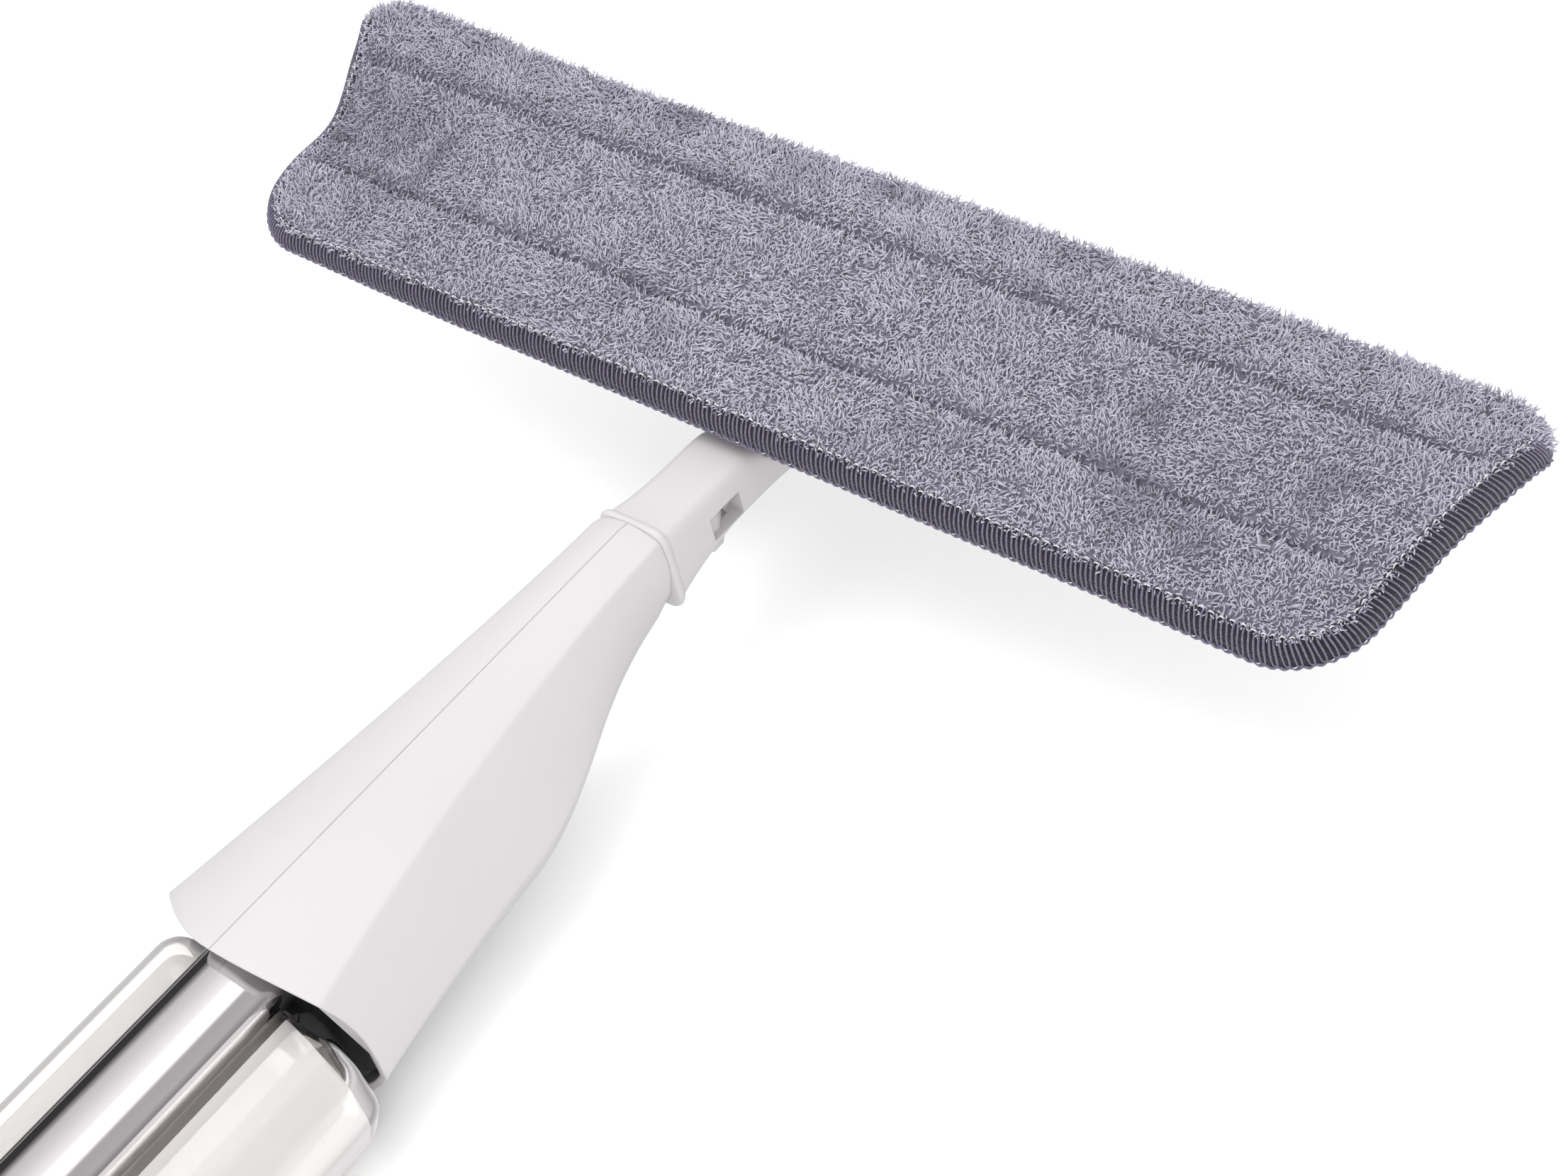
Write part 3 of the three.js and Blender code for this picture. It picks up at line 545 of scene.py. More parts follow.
def tufts(name, u, v):
    """Curly tufts of pile that stand on the pad's face at (u, v)."""
    count, steps = len(u), 5
    height = face_height(u, v)
    base = on_pad(u, v, height)
    along_u = on_pad(u + 0.4, v, face_height(u + 0.4, v)) - base
    along_v = on_pad(u, v + 0.4, face_height(u, v + 0.4)) - base
    normal = np.cross(along_u, along_v)
    normal /= np.linalg.norm(normal, axis=1)[:, None]
    # Neighbours lean much the same way; the lean turns in swirls.
    turn = (noise(u, v, 13, 4) * 2.6 + noise(u, v, 5, 5) * 1.7 + RNG.normal(0, 0.75, count))
    x = along_u / np.linalg.norm(along_u, axis=1)[:, None]
    y = np.cross(normal, x)
    lean = np.cos(turn)[:, None] * x + np.sin(turn)[:, None] * y
    across = np.cross(normal, lean)
    length = RNG.uniform(1.8, 3.2, count)
    edge = edge_distance(u, v)
    length *= mix(0.8, 1, smooth((edge - 4) / 4)) * mix(1, 1.3, smooth((v - 36) / 4))
    sewn = np.exp(-((np.abs(v) - CHANNEL - 0.25 * noise(u, v * 0, 7, 9)) / 0.9) ** 2)
    sewn = sewn * smooth((edge - 7) / 5)
    length *= 1 - 0.72 * sewn
    pitch = np.radians(RNG.uniform(62, 88, count))
    curl = np.radians(RNG.uniform(-20, 125, count))
    sway = np.radians(RNG.normal(0, 42, count))
    t = np.linspace(0, 1, steps)
    place = base - normal * 0.0004
    path = [place]
    for k in range(1, steps):
        rise = pitch - curl * t[k] ** 1.3
        side = sway * t[k]
        step = (np.sin(rise)[:, None] * normal
                + (np.cos(rise) * np.cos(side))[:, None] * lean
                + (np.cos(rise) * np.sin(side))[:, None] * across)
        step = step + 0.35 * np.sin(side)[:, None] * across
        path.append(path[-1] + step * (length / (steps - 1) * MM)[:, None])
    path = np.stack(path, 1)
    tangent = np.gradient(path, axis=1)
    tangent /= np.linalg.norm(tangent, axis=2)[..., None]
    side = np.cross(tangent, across[:, None] + 0.3 * normal[:, None])
    side /= np.linalg.norm(side, axis=2)[..., None] + 1e-9
    other = np.cross(side, tangent)
    profile = np.array([0.22, 0.27, 0.27, 0.22, 0.07]) * MM
    size = RNG.uniform(0.8, 1.25, count)
    r = size[:, None, None, None] * profile[None, :, None, None]
    angle = np.arange(3) / 3 * 2 * math.pi
    rings = path[:, :, None] + r * (np.cos(angle)[None, None, :, None] * side[:, :, None]
                                    + np.sin(angle)[None, None, :, None] * other[:, :, None])
    local = np.arange(steps * 3).reshape(steps, 3)
    quads = np.stack([local[:-1], np.roll(local[:-1], -1, 1), np.roll(local[1:], -1, 1), local[1:]],
                     -1).reshape(-1, 4)
    faces = (quads[None] + (np.arange(count) * steps * 3)[:, None, None]).reshape(-1, 4)
    made = piece(name, rings.reshape(-1, 3), faces, PILE, "head", "microfibre")
    # Darker patches are painted shade for the pile's uneven relief; the middle is lighter, and each tuft has a tint
    # of its own.
    shade_patch = 0.55 * noise(u, v, 26, 6) + 0.4 * noise(u, v, 10, 7)
    # Painted shade in the hollow of the middle lane at the left end.
    hollow = np.exp(-((v + 1) / 14) ** 2) * smooth((-u - 120) / 45)
    # Painted shade on the slope on the far side of each channel, which faces away from the light, most of all at the
    # left end.
    slope = np.exp(-((v - CHANNEL - 3.2) / 2.8) ** 2) + 0.7 * np.exp(-((v + CHANNEL - 3.0) / 2.6) ** 2)
    slope = slope * smooth((edge - 6) / 6) * mix(0.4, 1, smooth((-u - 90) / 60))
    # Painted shade: the tint darkens the tufts in the sewn channels, in the left-end hollow, on the channel slopes
    # and in the darker patches.
    tint = (RNG.normal(0.0, 0.045, count) + 0.07 * shade_patch - 0.34 * smooth((shade_patch - 0.16) / 0.45)
            + 0.09 * np.exp(-(u / 100) ** 2) - 0.55 * sewn - 0.28 * hollow - 0.2 * slope)
    # Painted shade down each tuft: dark at the root, lighter towards the tip, on top of its tint.
    shade = np.array([0.22, 0.43, 0.58, 0.68, 0.77])[None] + tint[:, None]
    shade = np.clip(np.repeat(shade[:, :, None], 3, 2), 0, 1)
    store = made.data.attributes.new("shade", "FLOAT", "POINT")
    store.data.foreach_set("value", shade.ravel().astype(np.float32))
    flat = np.stack([np.broadcast_to(u[:, None, None], shade.shape) / 500 + 0.5,
                     np.broadcast_to(v[:, None, None], shade.shape) / 500 + 0.5], -1).reshape(-1, 2)
    loops = np.zeros(len(made.data.loops), np.int32)
    made.data.loops.foreach_get("vertex_index", loops)
    made.data.uv_layers.new(name="OFBake").data.foreach_set("uv", flat[loops].ravel().astype(np.float32))


def pile():
    """Tufts all over the face, each lane in a few pieces along the pad."""
    gu, gv = np.meshgrid(np.arange(-208, 208, SPACING), np.arange(-50, 50, SPACING * 0.92))
    gu = gu + SPACING / 2 * (np.arange(gu.shape[0]) % 2)[:, None]
    u = (gu + RNG.uniform(-0.42, 0.42, gu.shape)).ravel()
    v = (gv + RNG.uniform(-0.42, 0.42, gv.shape)).ravel()
    keep = edge_distance(u, v) > BORDER - 1.3 - 3.4 * smooth((v - 33) / 5)
    stitched = (np.abs(np.abs(v) - CHANNEL) < 0.55) & (edge_distance(u, v) > 9)
    keep &= ~(stitched & (noise(u, v * 0, 3.1, 10) > -0.45))
    u, v = u[keep], v[keep]
    lanes = {"near": v < -CHANNEL, "middle": np.abs(v) <= CHANNEL, "far": v > CHANNEL}
    for lane, inside in lanes.items():
        parts = math.ceil(inside.sum() / MOST_TUFTS)
        cuts = np.quantile(u[inside], np.linspace(0, 1, parts + 1))
        for k in range(parts):
            mine = inside & (u >= cuts[k]) & ((u < cuts[k + 1]) | (k == parts - 1))
            tufts(f"pile_{lane}_{k + 1}", u[mine], v[mine])


def border_at(p, d, h):
    """A place on the border: p along the edge in mm, d inwards, h over its plane."""
    step = EDGE_LENGTH / len(EDGE)
    k = (np.asarray(p) / step) % len(EDGE)
    i = k.astype(int)
    f = (k - i)[..., None]
    j = (i + 1) % len(EDGE)
    at, out = mix(EDGE[i], EDGE[j], f), mix(EDGE_OUT[i], EDGE_OUT[j], f)
    tucked = smooth((at[..., 1] - 34) / 9)
    q = at - out * (np.asarray(d) + 1.8 * tucked)[..., None]
    h = np.asarray(h, float)
    return on_pad(q[..., 0], q[..., 1], h - np.where(h > 0, np.minimum(h, 2.0), 0) * tucked)


def binding():
    """Padded tape that folds round the pad's edge."""
    p = np.arange(720) * EDGE_LENGTH / 720
    profile = [(d, np.interp(d, *RIM) + lift) for d, lift in (
        (5.9, -0.4), (5.4, 0.3), (4.6, 0.5), (3.8, 0.5), (2.8, 0.5), (1.9, 0.45), (1.0, 0.4), (0.45, 0.3),
        (0.1, 0.1))]
    profile += [(0.0, 0.0), (0.3, -0.7), (0.9, -1.2), (2.2, -1.6), (4.2, -1.9), (6.5, -2.1), (8.4, -2.3), (9.2, -2.0)]
    rings = [border_at(p, np.full(len(p), d), np.full(len(p), h)) for d, h in profile]
    rings = np.transpose(np.array(rings), (1, 0, 2))
    points, faces = loft(np.concatenate([rings, rings[:1]]), caps=False)
    recalc(piece("pad_binding", points, faces, BINDING, "head", "microfibre"))


def overlock():
    """Bulky thread that zigzags over the binding on both faces and locks along the edge."""
    count = int(EDGE_LENGTH / STITCH)
    pitch = EDGE_LENGTH / count
    t = np.arange(count * 20) / 20
    phase = t % 1
    # Out along one leg and back along the other, with round turns at both ends.
    swing = 0.5 - 0.5 * np.cos(2 * math.pi * phase)
    p = (t + 0.10 * np.sin(4 * math.pi * phase)) * pitch - 1.9 * swing
    p = p + 0.35 * noise(t * 2.7, t * 0, 1.9, 12) * swing
    wander = 0.35 * noise(t * 3.1, t * 0, 2.3, 8)
    for name, sign in (("overlock_top", 1), ("overlock_under", -1)):
        d = mix(-0.15, (4.7 if sign > 0 else 7.6) + wander, swing**(1.35 if sign > 0 else 1))
        h = np.interp(d, *RIM) + 0.75 if sign > 0 else np.interp(d, [-1, 0, 1, 3, 9], [0, 0.3, 1.5, 2.2, 2.6])
        path = border_at(p + (0 if sign > 0 else pitch / 2), d, sign * h)
        radius = (0.29 - 0.05 * np.abs(np.cos(2 * math.pi * phase))) * MM
        points, faces = tube_mesh(path, radius, 6, closed=True)
        recalc(piece(name, points, faces, THREAD, "head", "microfibre"))
    edge = border_at(t * pitch, -0.15 + 0.18 * np.cos(2 * math.pi * phase), 0.35 * np.sin(2 * math.pi * phase))
    points, faces = tube_mesh(edge, 0.42 * MM, 6, closed=True)
    recalc(piece("overlock_edge", points, faces, THREAD, "head", "microfibre"))
    # The needle's white thread shows as dashes along the border's inner edge, except under the far pile.
    dashes = []
    for k in range(count):
        if np.interp((k * pitch) % EDGE_LENGTH, np.arange(len(EDGE)) * EDGE_LENGTH / len(EDGE), EDGE[:, 1]) > 38:
            continue
        q = (k + np.linspace(0.18, 0.82, 5)) * pitch
        d = 4.7 + 0.2 * math.sin(k * 1.7)
        lift = np.interp(d, *RIM) + np.array([0.4, 1.1, 1.35, 1.1, 0.4])
        dashes.append(tube_mesh(border_at(q, np.full(5, d), lift), 0.21 * MM, 5))
        if k % 3 == 0:
            q = (k + np.linspace(0.3, 0.7, 4)) * pitch
            dots = border_at(q, np.full(4, -0.35), np.array([0.1, 0.5, 0.7, 0.9]))
            dashes.append(tube_mesh(dots, 0.17 * MM, 5))
    points, faces = joined(*dashes)
    piece("needle_thread", points, faces, NEEDLE, "head", "microfibre")


# ---------- housing ----------
LIP, LIP_CUT, START, WALL = -215.0, 10.0, -57.0, 2.4
LIP_SWEEP = {-1: 5.1, 1: 0.4}  # how far the lip's left and right corners sweep back
SCREW_HOLE = 3.1  # radius
SCREW_PLACES = ((-72, 2), (-108, -17), (-160, -22))  # y and z


def housing_half(s, inset):
    """Right half of the housing's section at s, 0 at the collar to 1 at the lip, from back to front."""
    across, down = 0.774, 0.633
    flare = s**0.75
    reach = 11 + 19 * smooth(s / 0.55) + 8 * s + 4 * s**3
    back = np.array([11 + 18.5 * s**1.6 - inset * 0.95, 15.2 - 6 * s**2.2 - inset * 0.9])
    side_z = -3 - 22 * flare
    inward = mix(1.2, 0.5, s) + 1.6 * math.sin(math.pi * s)
    side = np.array([(reach - inward + down * side_z) / across - inset, side_z + inset * 0.2])
    front_z = -10 - 28 * flare
    front = np.array([(reach + down * front_z) / across - inset * 0.8, front_z + inset * 0.6])
    crown, belly = 17.9 - inset, -14 - 30 * s**0.6 + inset

    def top(t):
        return np.stack([back[0] * t, crown - (crown - back[1]) * t**2], -1)

    def flank(t):
        return mix(back, side, t[:, None]) + np.stack([1.2 * np.sin(math.pi * t), 0 * t], -1)

    def chamfer(t):
        return mix(side, front, t[:, None]) + np.stack([0.6 * np.sin(math.pi * t), 0 * t], -1)

    def under(t):
        a = t * math.pi / 2
        return np.stack([front[0] * np.cos(a), mix(front[1], belly, np.sin(a))], -1)

    parts, spans = [top, flank, chamfer, under], [11, 9, 5, 11]
    points = []
    for k, (part, n) in enumerate(zip(parts, spans)):
        ends = part(np.array([0.0, 1.0]))
        cut = min(1.1 / np.linalg.norm(ends[1] - ends[0]), 0.3)
        first, last = (0.0 if k == 0 else cut), (1.0 if k == 3 else 1 - cut)
        run = part(np.linspace(first, last, n))
        if points:
            a, p, b = points[-1][-1], ends[0], run[0]
            t = np.array([0.25, 0.5, 0.75])[:, None]
            points.append(mix(mix(a, p, t), mix(p, b, t), t))
        points.append(run)
    half = np.concatenate(points)
    # The halves meet with a fine V along the seam.
    half = half[1:-1]
    crown_edge = [[0.05, crown - 0.12], [0.22, crown]]
    belly_edge = [[0.22, belly], [0.05, belly + 0.12]]
    return np.concatenate([crown_edge, half, belly_edge])


def housing_shell(side):
    """One half of the housing, with its wall and a rounded lip."""
    stations = [(s, 0.0, 0.0) for s in np.linspace(0, 1, 49)[:-1]]
    stations += [(1.0, past, pulled) for past, pulled in ((-0.5, 0), (-0.25, 0.06), (-0.08, 0.25), (0, 0.55))]
    rings = []
    for s, past, pulled in stations:
        start = 0.5 * (1 - smooth(s / 0.02)) if s < 0.02 else 0
        outer = housing_half(s, pulled + start)
        inner = housing_half(s, WALL - pulled)[::-1]
        ring = np.concatenate([outer, inner])
        lip = LIP + LIP_CUT * (1 - (np.maximum(ring[:, 1] + 15, 0) / 33) ** 2)
        swept = LIP_SWEEP[side]
        lip = lip + swept * np.clip((ring[:, 0] - 4) / 25, 0, 1) ** 1.5 * smooth((ring[:, 1] + 24) / 33)
        y = mix(START, lip, s) - past
        rings.append(np.stack([side * ring[:, 0], y, ring[:, 1]], -1))
    points, faces = loft(rings)
    name = "shell_left" if side < 0 else "shell_right"
    made = piece(name, pole_at(points), faces, WHITE, "pole", "white")
    if side < 0:
        holes = []
        for k, (y, z) in enumerate(SCREW_PLACES):
            head = (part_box(f"housing_screw_{k + 1}")[0][0] - ORIGIN[0]) / MM
            holes.append(bar_across(SCREW_HOLE, head - 9, head + 2.0, y, z))
        carve(made, *holes)
    else:
        recalc(made)
    soften(made)
    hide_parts("housing_left" if side < 0 else "housing_right")


# ---------- neck, bottle and pole ----------
def corner_arc(a, p, b, r, steps):
    a, p, b = np.array(a, float), np.array(p, float), np.array(b, float)
    ka = min(r, np.linalg.norm(a - p) * 0.45) / np.linalg.norm(a - p)
    kb = min(r, np.linalg.norm(b - p) * 0.45) / np.linalg.norm(b - p)
    s, e = mix(p, a, ka), mix(p, b, kb)
    t = np.linspace(0, 1, steps + 1)[:, None]
    return mix(mix(s, p, t), mix(p, e, t), t)


def neck_ring(y, wide, top, bottom, steps=12):
    half = np.concatenate([
        [[0, top + 0.1]],
        [[wide * 0.25, top + 0.09]],
        corner_arc([0, top + 0.1], [wide, top], [wide, 0], min(6, wide * 0.6), steps),
        corner_arc([wide, 2], [wide, bottom], [0, bottom - 0.1], min(9, wide), steps),
        [[0, bottom - 0.1]],
    ])
    ring = np.concatenate([half, half[1:-1][::-1] * [-1, 1]])
    return np.stack([ring[:, 0], np.full(len(ring), float(y)), ring[:, 1]], -1)


def neck():
    ys = [-53, -48, -40, -32, -26, -20, -15, -8, 4, 16]
    wide = [11, 10.6, 10.2, 10.2, 10.3, 10.5, 10.6, 10.9, 12.2, 13.6]
    top = [15.6, 14.8, 14, 13.4, 13, 12.5, 11.2, 4.8, 4.8, 4.8]
    bottom = [-9.8, -8.4, -6.6, -4.9, -4.4, -4.3, -4.4, -4.7, -5.9, -7.4]
    rings = []
    for at in np.concatenate([[-54.9], np.linspace(-53, -10, 60), np.linspace(-9, 16, 14)]):
        y = max(at, ys[0])
        height = max(spline(ys, top, y), top[-1]) if y < -8 else top[-1]
        rings.append(neck_ring(at, spline(ys, wide, y), min(height, top[0]), spline(ys, bottom, y)))
    rings += [neck_ring(16.4, 13.6, 4.4, -7.0), neck_ring(16.5, 13.0, 3.8, -6.4)]
    points, faces = loft(rings)
    made = piece("neck_shell", pole_at(points), faces, WHITE, "pole", "white")
    # The nozzle's window opens downwards, with a pocket on either side.
    windows = [box_solid(-6, 6, -38.5, -28, -30, 5), box_solid(5, 20, -38, -25.6, -2.2, 5.6),
               box_solid(-20, -5, -38, -25.6, -2.2, 5.6)]
    made = carve(made, *((pole_at(points), faces) for points, faces in windows))
    ears = []
    for x0, x1 in ((9.4, 14.0), (-14.0, -9.4)):
        t = np.radians(np.linspace(-90, 90, 25))
        outline = np.concatenate([
            np.stack([34.9 + 8 * np.cos(t), -1.35 + 8 * np.sin(t)], -1),
            [[30.9, 5.9], [28.5, 4.6], [26, 4.4], [10, 4.4], [10, -7.2], [26, -7.2], [28.5, -7.9], [31.5, -9.2]],
        ])
        centre = np.array([27.0, -1.3])
        rings = []
        for x, pull in ((x0, 0.6), (x0 + 0.18, 0.18), (x0 + 0.6, 0), (x1 - 0.6, 0), (x1 - 0.18, 0.18), (x1, 0.6)):
            o = outline + (centre - outline) / np.linalg.norm(centre - outline, axis=1)[:, None] * pull
            rings.append(np.stack([np.full(len(o), x), o[:, 0], o[:, 1]], -1))
        points, faces = loft(rings)
        ears.append((pole_at(points), faces))
    for side, half in zip(("right", "left"), ears):
        soften(recalc(piece(f"neck_ear_{side}", *half, WHITE, "pole", "white")))
    soften(made)
    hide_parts("neck")


def nozzle():
    """Spray block in the neck's window: full width towards the housing, drawn in towards the pad."""
    (_, y0, z0), (x1, y1, z1) = ((np.array(corner) - ORIGIN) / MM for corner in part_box("nozzle_body"))
    wide, middle, drawn_in = x1 - 0.9, mix(y0, y1, 0.42), 3.2
    plan = np.array([[wide, y0], [wide, middle], [wide - drawn_in, y1 - 0.6]])
    plan = np.concatenate([plan, plan[::-1] * [-1, 1]])
    centre = np.array([0, (y0 + y1) / 2])
    rings = []
    for z, share in ((z0, 0.95), (z0 + 0.15, 0.985), (z0 + 0.5, 1), (z1 - 0.5, 1), (z1 - 0.15, 0.985), (z1, 0.95)):
        outline = centre + (plan - centre) * share
        rings.append(np.concatenate([outline, np.full((len(outline), 1), z)], 1))
    points, faces = loft(rings)
    made = soften(recalc(piece("nozzle_wedge", pole_at(points), faces, WHITE, "pole", "white")))
    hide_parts("nozzle_body")


def collar():
    """Narrow band round the housing's small end, as rows of y, half width, top and bottom."""
    rows = [(-54.3, 10.9, 15.5, -9.7), (-54.2, 11.05, 16.0, -10.4), (-54.3, 11.35, 16.5, -10.95),
            (-54.7, 11.55, 16.85, -11.3), (-55.4, 11.75, 17.1, -11.7), (-55.9, 11.8, 17.15, -11.8),
            (-56.3, 11.65, 17.0, -11.65), (-56.7, 11.4, 16.8, -11.5), (-57.0, 10.9, 16.2, -11.0)]
    points, faces = loft([neck_ring(*row) for row in rows])
    made = soften(recalc(piece("collar_band", pole_at(points), faces, WHITE, "pole", "white")))
    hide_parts("collar_ring")


BOTTLE = {"top": -206.7, "bottom": -436.0, "wall": 1.6, "neck_z": -25.0, "sag": 2.6, "rounding": 7.2,
          "top_draw": 4.2, "bottom_draw": 3.8, "straight_from": 14, "clear_to": 6.2}


def bottle_ring(y, inset, steps=8):
    right = np.array([
        [15.2 + inset, -15.5 - inset], [15.2 + inset, -2 - inset], [30.5 - inset, -2 - inset],
        [35.5 - inset, -11 - 0.6 * inset], [36.5 - inset, -28], [30 - inset, -43 + inset],
        [21 - 0.6 * inset, -47 + inset]])
    corners = np.concatenate([right, right[::-1] * [-1, 1]])
    n = len(corners)
    # The edge beside the pole is crisp, the others are round.
    rounds = [3.4, 1.3, 4.4, 3.4, 3.4, 3.4, 3.4]
    rounds += rounds[::-1]
    ring = np.concatenate([corner_arc(corners[i - 1], corners[i], corners[(i + 1) % n], rounds[i], steps)
                           for i in range(n)])
    # The right shoulder sags towards its outer side.
    sag = BOTTLE["sag"] * smooth((y - BOTTLE["top"] + 26) / 18) * smooth((ring[:, 0] - 17) / 15)
    return np.stack([ring[:, 0], y - sag, ring[:, 1]], -1)


def bottle():
    top, bottom, rounding, straight = (BOTTLE[k] for k in ("top", "bottom", "rounding", "straight_from"))
    surfaces = []
    for inset in (0.0, BOTTLE["wall"]):
        a = np.linspace(0, math.pi / 2, 12)
        rows = [(top - inset - rounding * (1 - math.sin(t)), BOTTLE["top_draw"] * (1 - math.cos(t)))
                for t in a[::-1]]
        rows += [(y, 0.0) for y in np.linspace(top - straight, bottom + straight, 24)]
        rows += [(bottom + inset + rounding * (1 - math.sin(t)), BOTTLE["bottom_draw"] * (1 - math.cos(t)))
                 for t in a]
        rings = [bottle_ring(y, inset + pulled) for y, pulled in rows]
        points, faces = loft(rings)
        if inset:
            faces = [f[::-1] for f in faces]
        surfaces.append((pole_at(points), faces))
    t = np.arange(48) / 48 * 2 * math.pi
    profile = [(8.0, 0.2), (8.0, 17.0), (7.6, 17.4), (6.8, 17.4), (6.4, 17.0), (6.4, 0.2)]
    rings = [np.stack([r * np.cos(t), np.full(48, top + y), BOTTLE["neck_z"] + r * np.sin(t)], -1)
             for r, y in profile]
    rings.append(rings[0])
    points, faces = loft(rings, caps=False)
    surfaces.append((pole_at(points), faces))
    points, faces = joined(*surfaces)
    made = piece("bottle_shell", points, faces, CLEAR, "bottle", "clear")
    made.data.materials.append(SHOULDER)
    for face in made.data.polygons:
        x, y = ((face.center[k] - ORIGIN[k]) / MM for k in (0, 1))
        clear_to = top - BOTTLE["clear_to"] - BOTTLE["sag"] * smooth((x - 17) / 15)
        face.material_index = int(x > 12 and y > clear_to)
    soften(made)
    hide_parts("bottle")


def turned(name, profile, material, slot, node, sides=128):
    """A round piece about the pole's axis from a closed profile of (radius, y)."""
    t = np.arange(sides) / sides * 2 * math.pi
    rings = [np.stack([r * np.cos(t), np.full(sides, float(y)), r * np.sin(t)], -1) for r, y in profile]
    rings.append(rings[0])
    points, faces = loft(rings, caps=False)
    made = soften(recalc(piece(name, pole_at(points), faces, material, "pole", slot)))
    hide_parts(node)


def tube_profile(y0, y1, outer=12.1, inner=11.1, round_off=0.3):
    middle = list(np.linspace(y0 + 2, y1 - 2, 9))
    return ([(inner + round_off, y0), (outer - round_off, y0), (outer - 0.08, y0 + 0.08), (outer, y0 + round_off)]
            + [(outer, y) for y in middle]
            + [(outer, y1 - round_off), (outer - 0.08, y1 - 0.08), (outer - round_off, y1), (inner + round_off, y1),
               (inner, y1 - round_off), (inner, y0 + round_off)])


def pole_y(node):
    low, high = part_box(node)
    return (low[1] - ORIGIN[1]) / MM, (high[1] - ORIGIN[1]) / MM


def pole_pieces():
    turned("tube_lower", tube_profile(*pole_y("lower_tube")), CHROME, "chrome", "lower_tube")
    turned("tube_upper", tube_profile(*pole_y("upper_tube")), CHROME, "chrome", "upper_tube")
    y0, y1 = pole_y("tube_coupler")
    profile = [(12.5, y0), (13.0, y0), (13.6, y0 + 0.7), (14.3, y0 + 1.6), (14.3, y0 + 14), (13.9, y0 + 14.6),
               (13.9, y0 + 15.6), (14.3, y0 + 16.2), (14.3, y1 - 16.2), (13.9, y1 - 15.6), (13.9, y1 - 14.6),
               (14.3, y1 - 14), (14.3, y1 - 1.6), (13.6, y1 - 0.7), (13.0, y1), (12.5, y1)]
    turned("coupler_sleeve", profile, WHITE, "white", "tube_coupler")


def pump_coil():
    """The pump's spring ahead of the piston, as a fixed coil of wire."""
    low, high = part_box("pump_spring")
    wire, turns = 0.55, 6
    y0, y1 = (low[1] - ORIGIN[1]) / MM + wire, (high[1] - ORIGIN[1]) / MM - wire
    radius = (high[0] - low[0]) / 2 / MM - wire
    t = np.linspace(0, turns, turns * 32 + 1)
    a = 2 * math.pi * t
    y = np.interp(t, [0, 0.8, turns - 0.8, turns], [y0, y0 + 0.7, y1 - 0.7, y1])
    points, faces = tube_mesh(pole_at(np.stack([radius * np.cos(a), y, radius * np.sin(a)], -1)), wire * MM, 10)
    made = recalc(piece("pump_coil", points, faces, STEEL, "pole", "steel"))
    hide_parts("pump_spring")
    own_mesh(made)


# ---------- carried-over CAD pieces ----------
CARRIED = (
    (WHITE, ("grip_left", "grip_right", "base_plate")),
    (GREY, ("nozzle_tip", "pump_cylinder", "valve_socket", "rod_bush_1", "rod_bush_2", "rod_bush_3", "trigger",
            "heel", "swivel_block")),
    (DARK, ("pump_piston", "bottle_seal", "bottle_cap")),
    (STEEL, ("roll_pin", "pitch_pin", "housing_screw_1", "housing_screw_2", "housing_screw_3", "pull_rod",
             "grip_screw", "trigger_pin", "trigger_spring")),
    (HOOK, ("hook_strip_near", "hook_strip_far")),
    (HOSE, ("feed_hose", "supply_hose")),
)
for finish, names in CARRIED:
    for node_name in names:
        node = NODES[node_name]
        if not node.material_slots:
            node.data.materials.append(finish)
        for holder in node.material_slots:
            holder.material = finish
        soften(node)

# ---------- build ----------
cloth = pad_body()
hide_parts("mop_pad")
pile()
binding()
overlock()
housing_shell(-1)
housing_shell(1)
neck()
nozzle()
collar()
bottle()
pole_pieces()
pump_coil()


# ---------- studio ----------
def floor():
    look = Look("floor", (0.96, 0.96, 0.96), 0.8)
    look.link(look.ramp(look.noise(3, 2), (0.3, (0.955, 0.955, 0.955)), (0.7, (0.965, 0.965, 0.965))), "Base Color")
    s = 6.0
    made = piece("floor", [(-s, -s, -0.0002), (s, -s, -0.0002), (s, s, -0.0002), (-s, s, -0.0002)], [[0, 1, 2, 3]],
                 look.material, None, None)
    made.visible_glossy = False


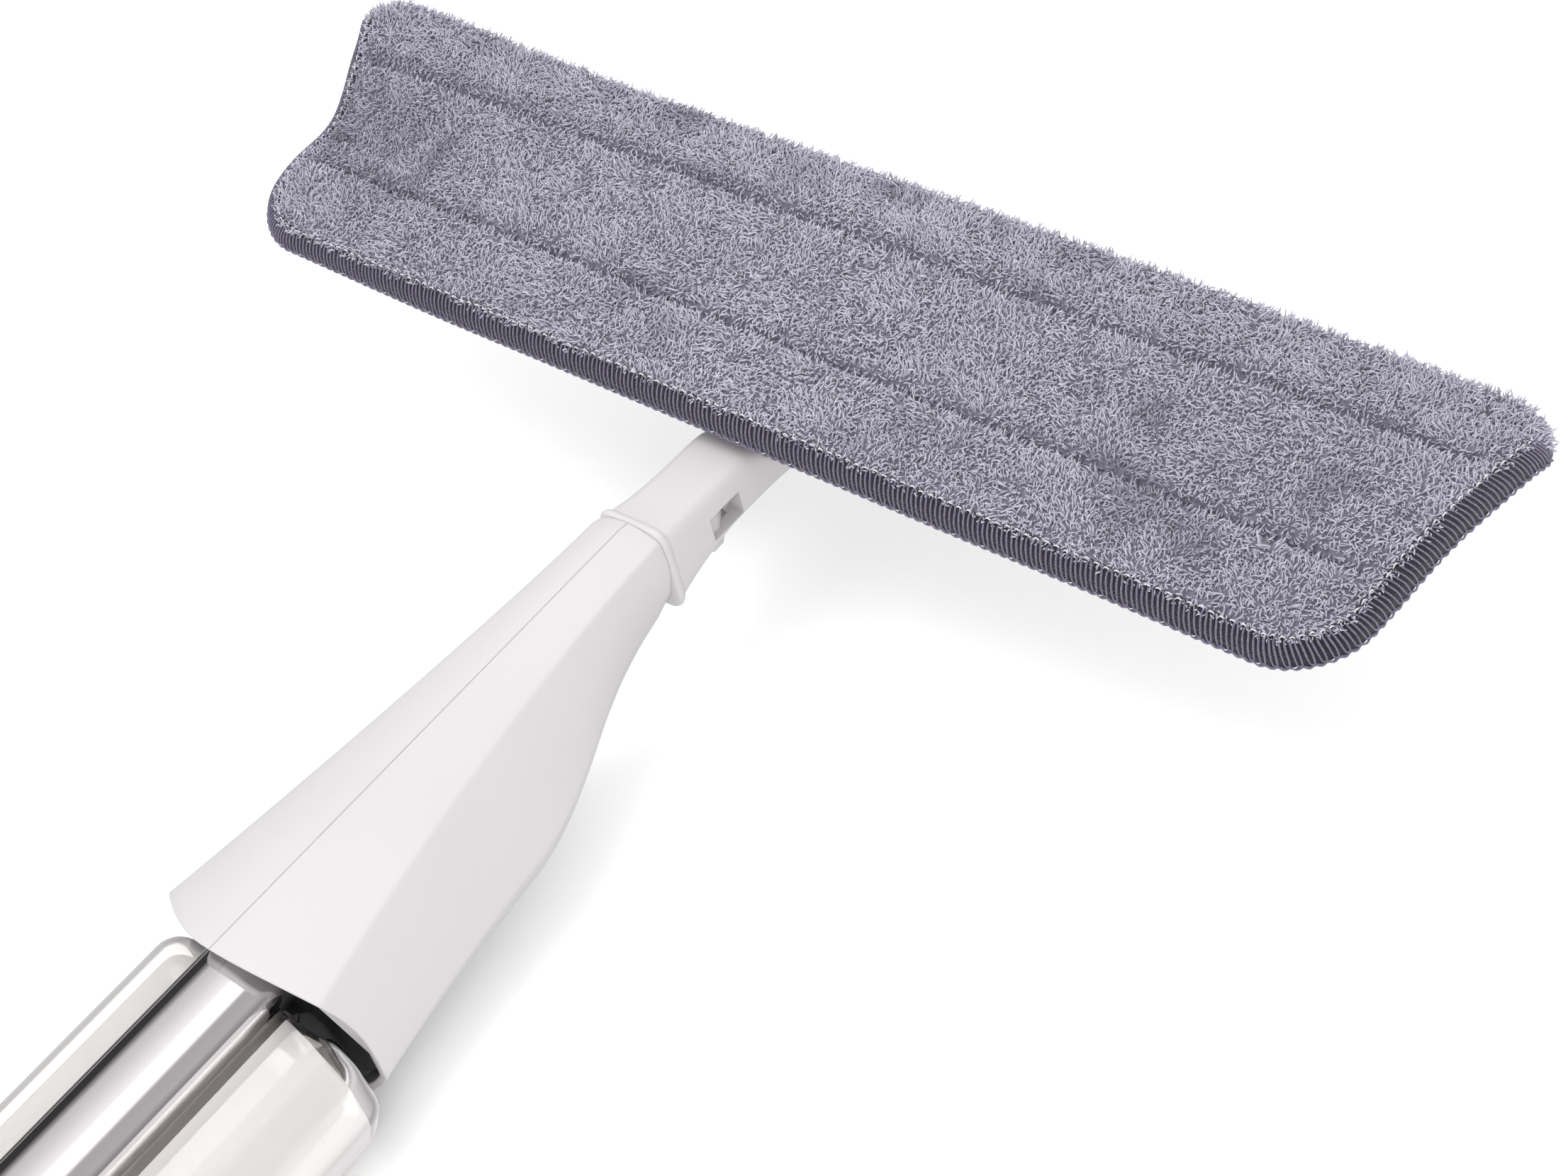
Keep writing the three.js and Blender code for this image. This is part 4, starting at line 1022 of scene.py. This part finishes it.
def world():
    """White all round, but shiny things mirror light and dark strips that turn about the pole."""
    scene = bpy.context.scene
    scene.world = bpy.data.worlds.new("studio")
    scene.world.use_nodes = True
    tree = scene.world.node_tree
    add, link = tree.nodes.new, tree.links.new
    background = tree.nodes["Background"]
    place, split, turn = add("ShaderNodeTexCoord"), add("ShaderNodeSeparateXYZ"), add("ShaderNodeMath")
    turn.operation = "ARCTAN2"
    link(place.outputs["Generated"], split.inputs[0])
    link(split.outputs["Z"], turn.inputs[0])
    link(split.outputs["X"], turn.inputs[1])
    scaled, ramp = add("ShaderNodeMath"), add("ShaderNodeValToRGB")
    scaled.operation = "MULTIPLY_ADD"
    scaled.inputs[1].default_value = 0.5 / math.pi
    scaled.inputs[2].default_value = 0.5
    link(turn.outputs[0], scaled.inputs[0])
    link(scaled.outputs[0], ramp.inputs["Fac"])
    # Turning from -180 degrees, the level on the left, through below, right and above, back to the left.
    turns = [-180, -174, -171, -168, -162, -150, -138, -120, -105, -75, -45, -15, 0, 33, 44, 61, 77, 108, 135, 146,
             157, 180]
    levels = [0.03, 0.03, 0.6, 0.03, 0.05, 0.2, 0.6, 0.63, 0.48, 0.28, 0.54, 0.2, 0.36, 0.33, 1.3, 1.15, 0.76, 0.56,
              0.46, 0.2, 0.03, 0.03]
    stops = [(degrees / 360 + 0.5, level) for degrees, level in zip(turns, levels)]
    while len(ramp.color_ramp.elements) < len(stops):
        ramp.color_ramp.elements.new(0.5)
    for element, (at, value) in zip(ramp.color_ramp.elements, stops):
        element.position = at
        element.color = (value, value * 0.975, value * 0.985, 1)
    rays, choose = add("ShaderNodeLightPath"), add("ShaderNodeMix")
    choose.data_type = "RGBA"
    link(rays.outputs["Is Glossy Ray"], choose.inputs["Factor"])
    choose.inputs["A"].default_value = (1.0, 1.0, 1.0, 1)
    link(ramp.outputs["Color"], choose.inputs["B"])
    link(choose.outputs["Result"], background.inputs["Color"])
    background.inputs["Strength"].default_value = 1.3


def lamp(name, place, aim, size, watts):
    data = bpy.data.lights.new(name, "AREA")
    data.shape, data.size, data.energy = "DISK", size, watts
    made = bpy.data.objects.new(name, data)
    made.location = place
    made.rotation_euler = (Vector(aim) - Vector(place)).to_track_quat("-Z", "Y").to_euler()
    made.visible_glossy = False
    bpy.context.scene.collection.objects.link(made)


def camera():
    """The camera of the photograph: above and beside the pole, close to the pad."""
    azimuth, elevation, roll = (math.radians(a) for a in (48.653, 45.379, -15.299))
    back = Vector((math.sin(azimuth) * math.cos(elevation), -math.cos(azimuth) * math.cos(elevation),
                   math.sin(elevation)))
    right = Vector((0, 0, 1)).cross(back).normalized()
    up = back.cross(right)
    right, up = (math.cos(roll) * right + math.sin(roll) * up, -math.sin(roll) * right + math.cos(roll) * up)
    data = bpy.data.cameras.new("camera")
    data.lens, data.sensor_width, data.clip_start, data.clip_end = 62.12, 36, 0.01, 50
    made = bpy.data.objects.new("camera", data)
    spot = pole_at([413.85, -374.15, 505.51])
    made.matrix_world = Matrix.Translation(spot) @ Matrix((right, up, back)).transposed().to_4x4()
    bpy.context.scene.collection.objects.link(made)
    bpy.context.scene.camera = made


floor()
world()
lamp("key", (-0.5, 0.2, 2.2), (0, 0.2, 0), 1.6, 18)
lamp("fill", (1.4, -0.9, 1.4), (0, 0.4, 0), 1.4, 8)
camera()
bpy.context.scene.view_settings.view_transform = "Standard"
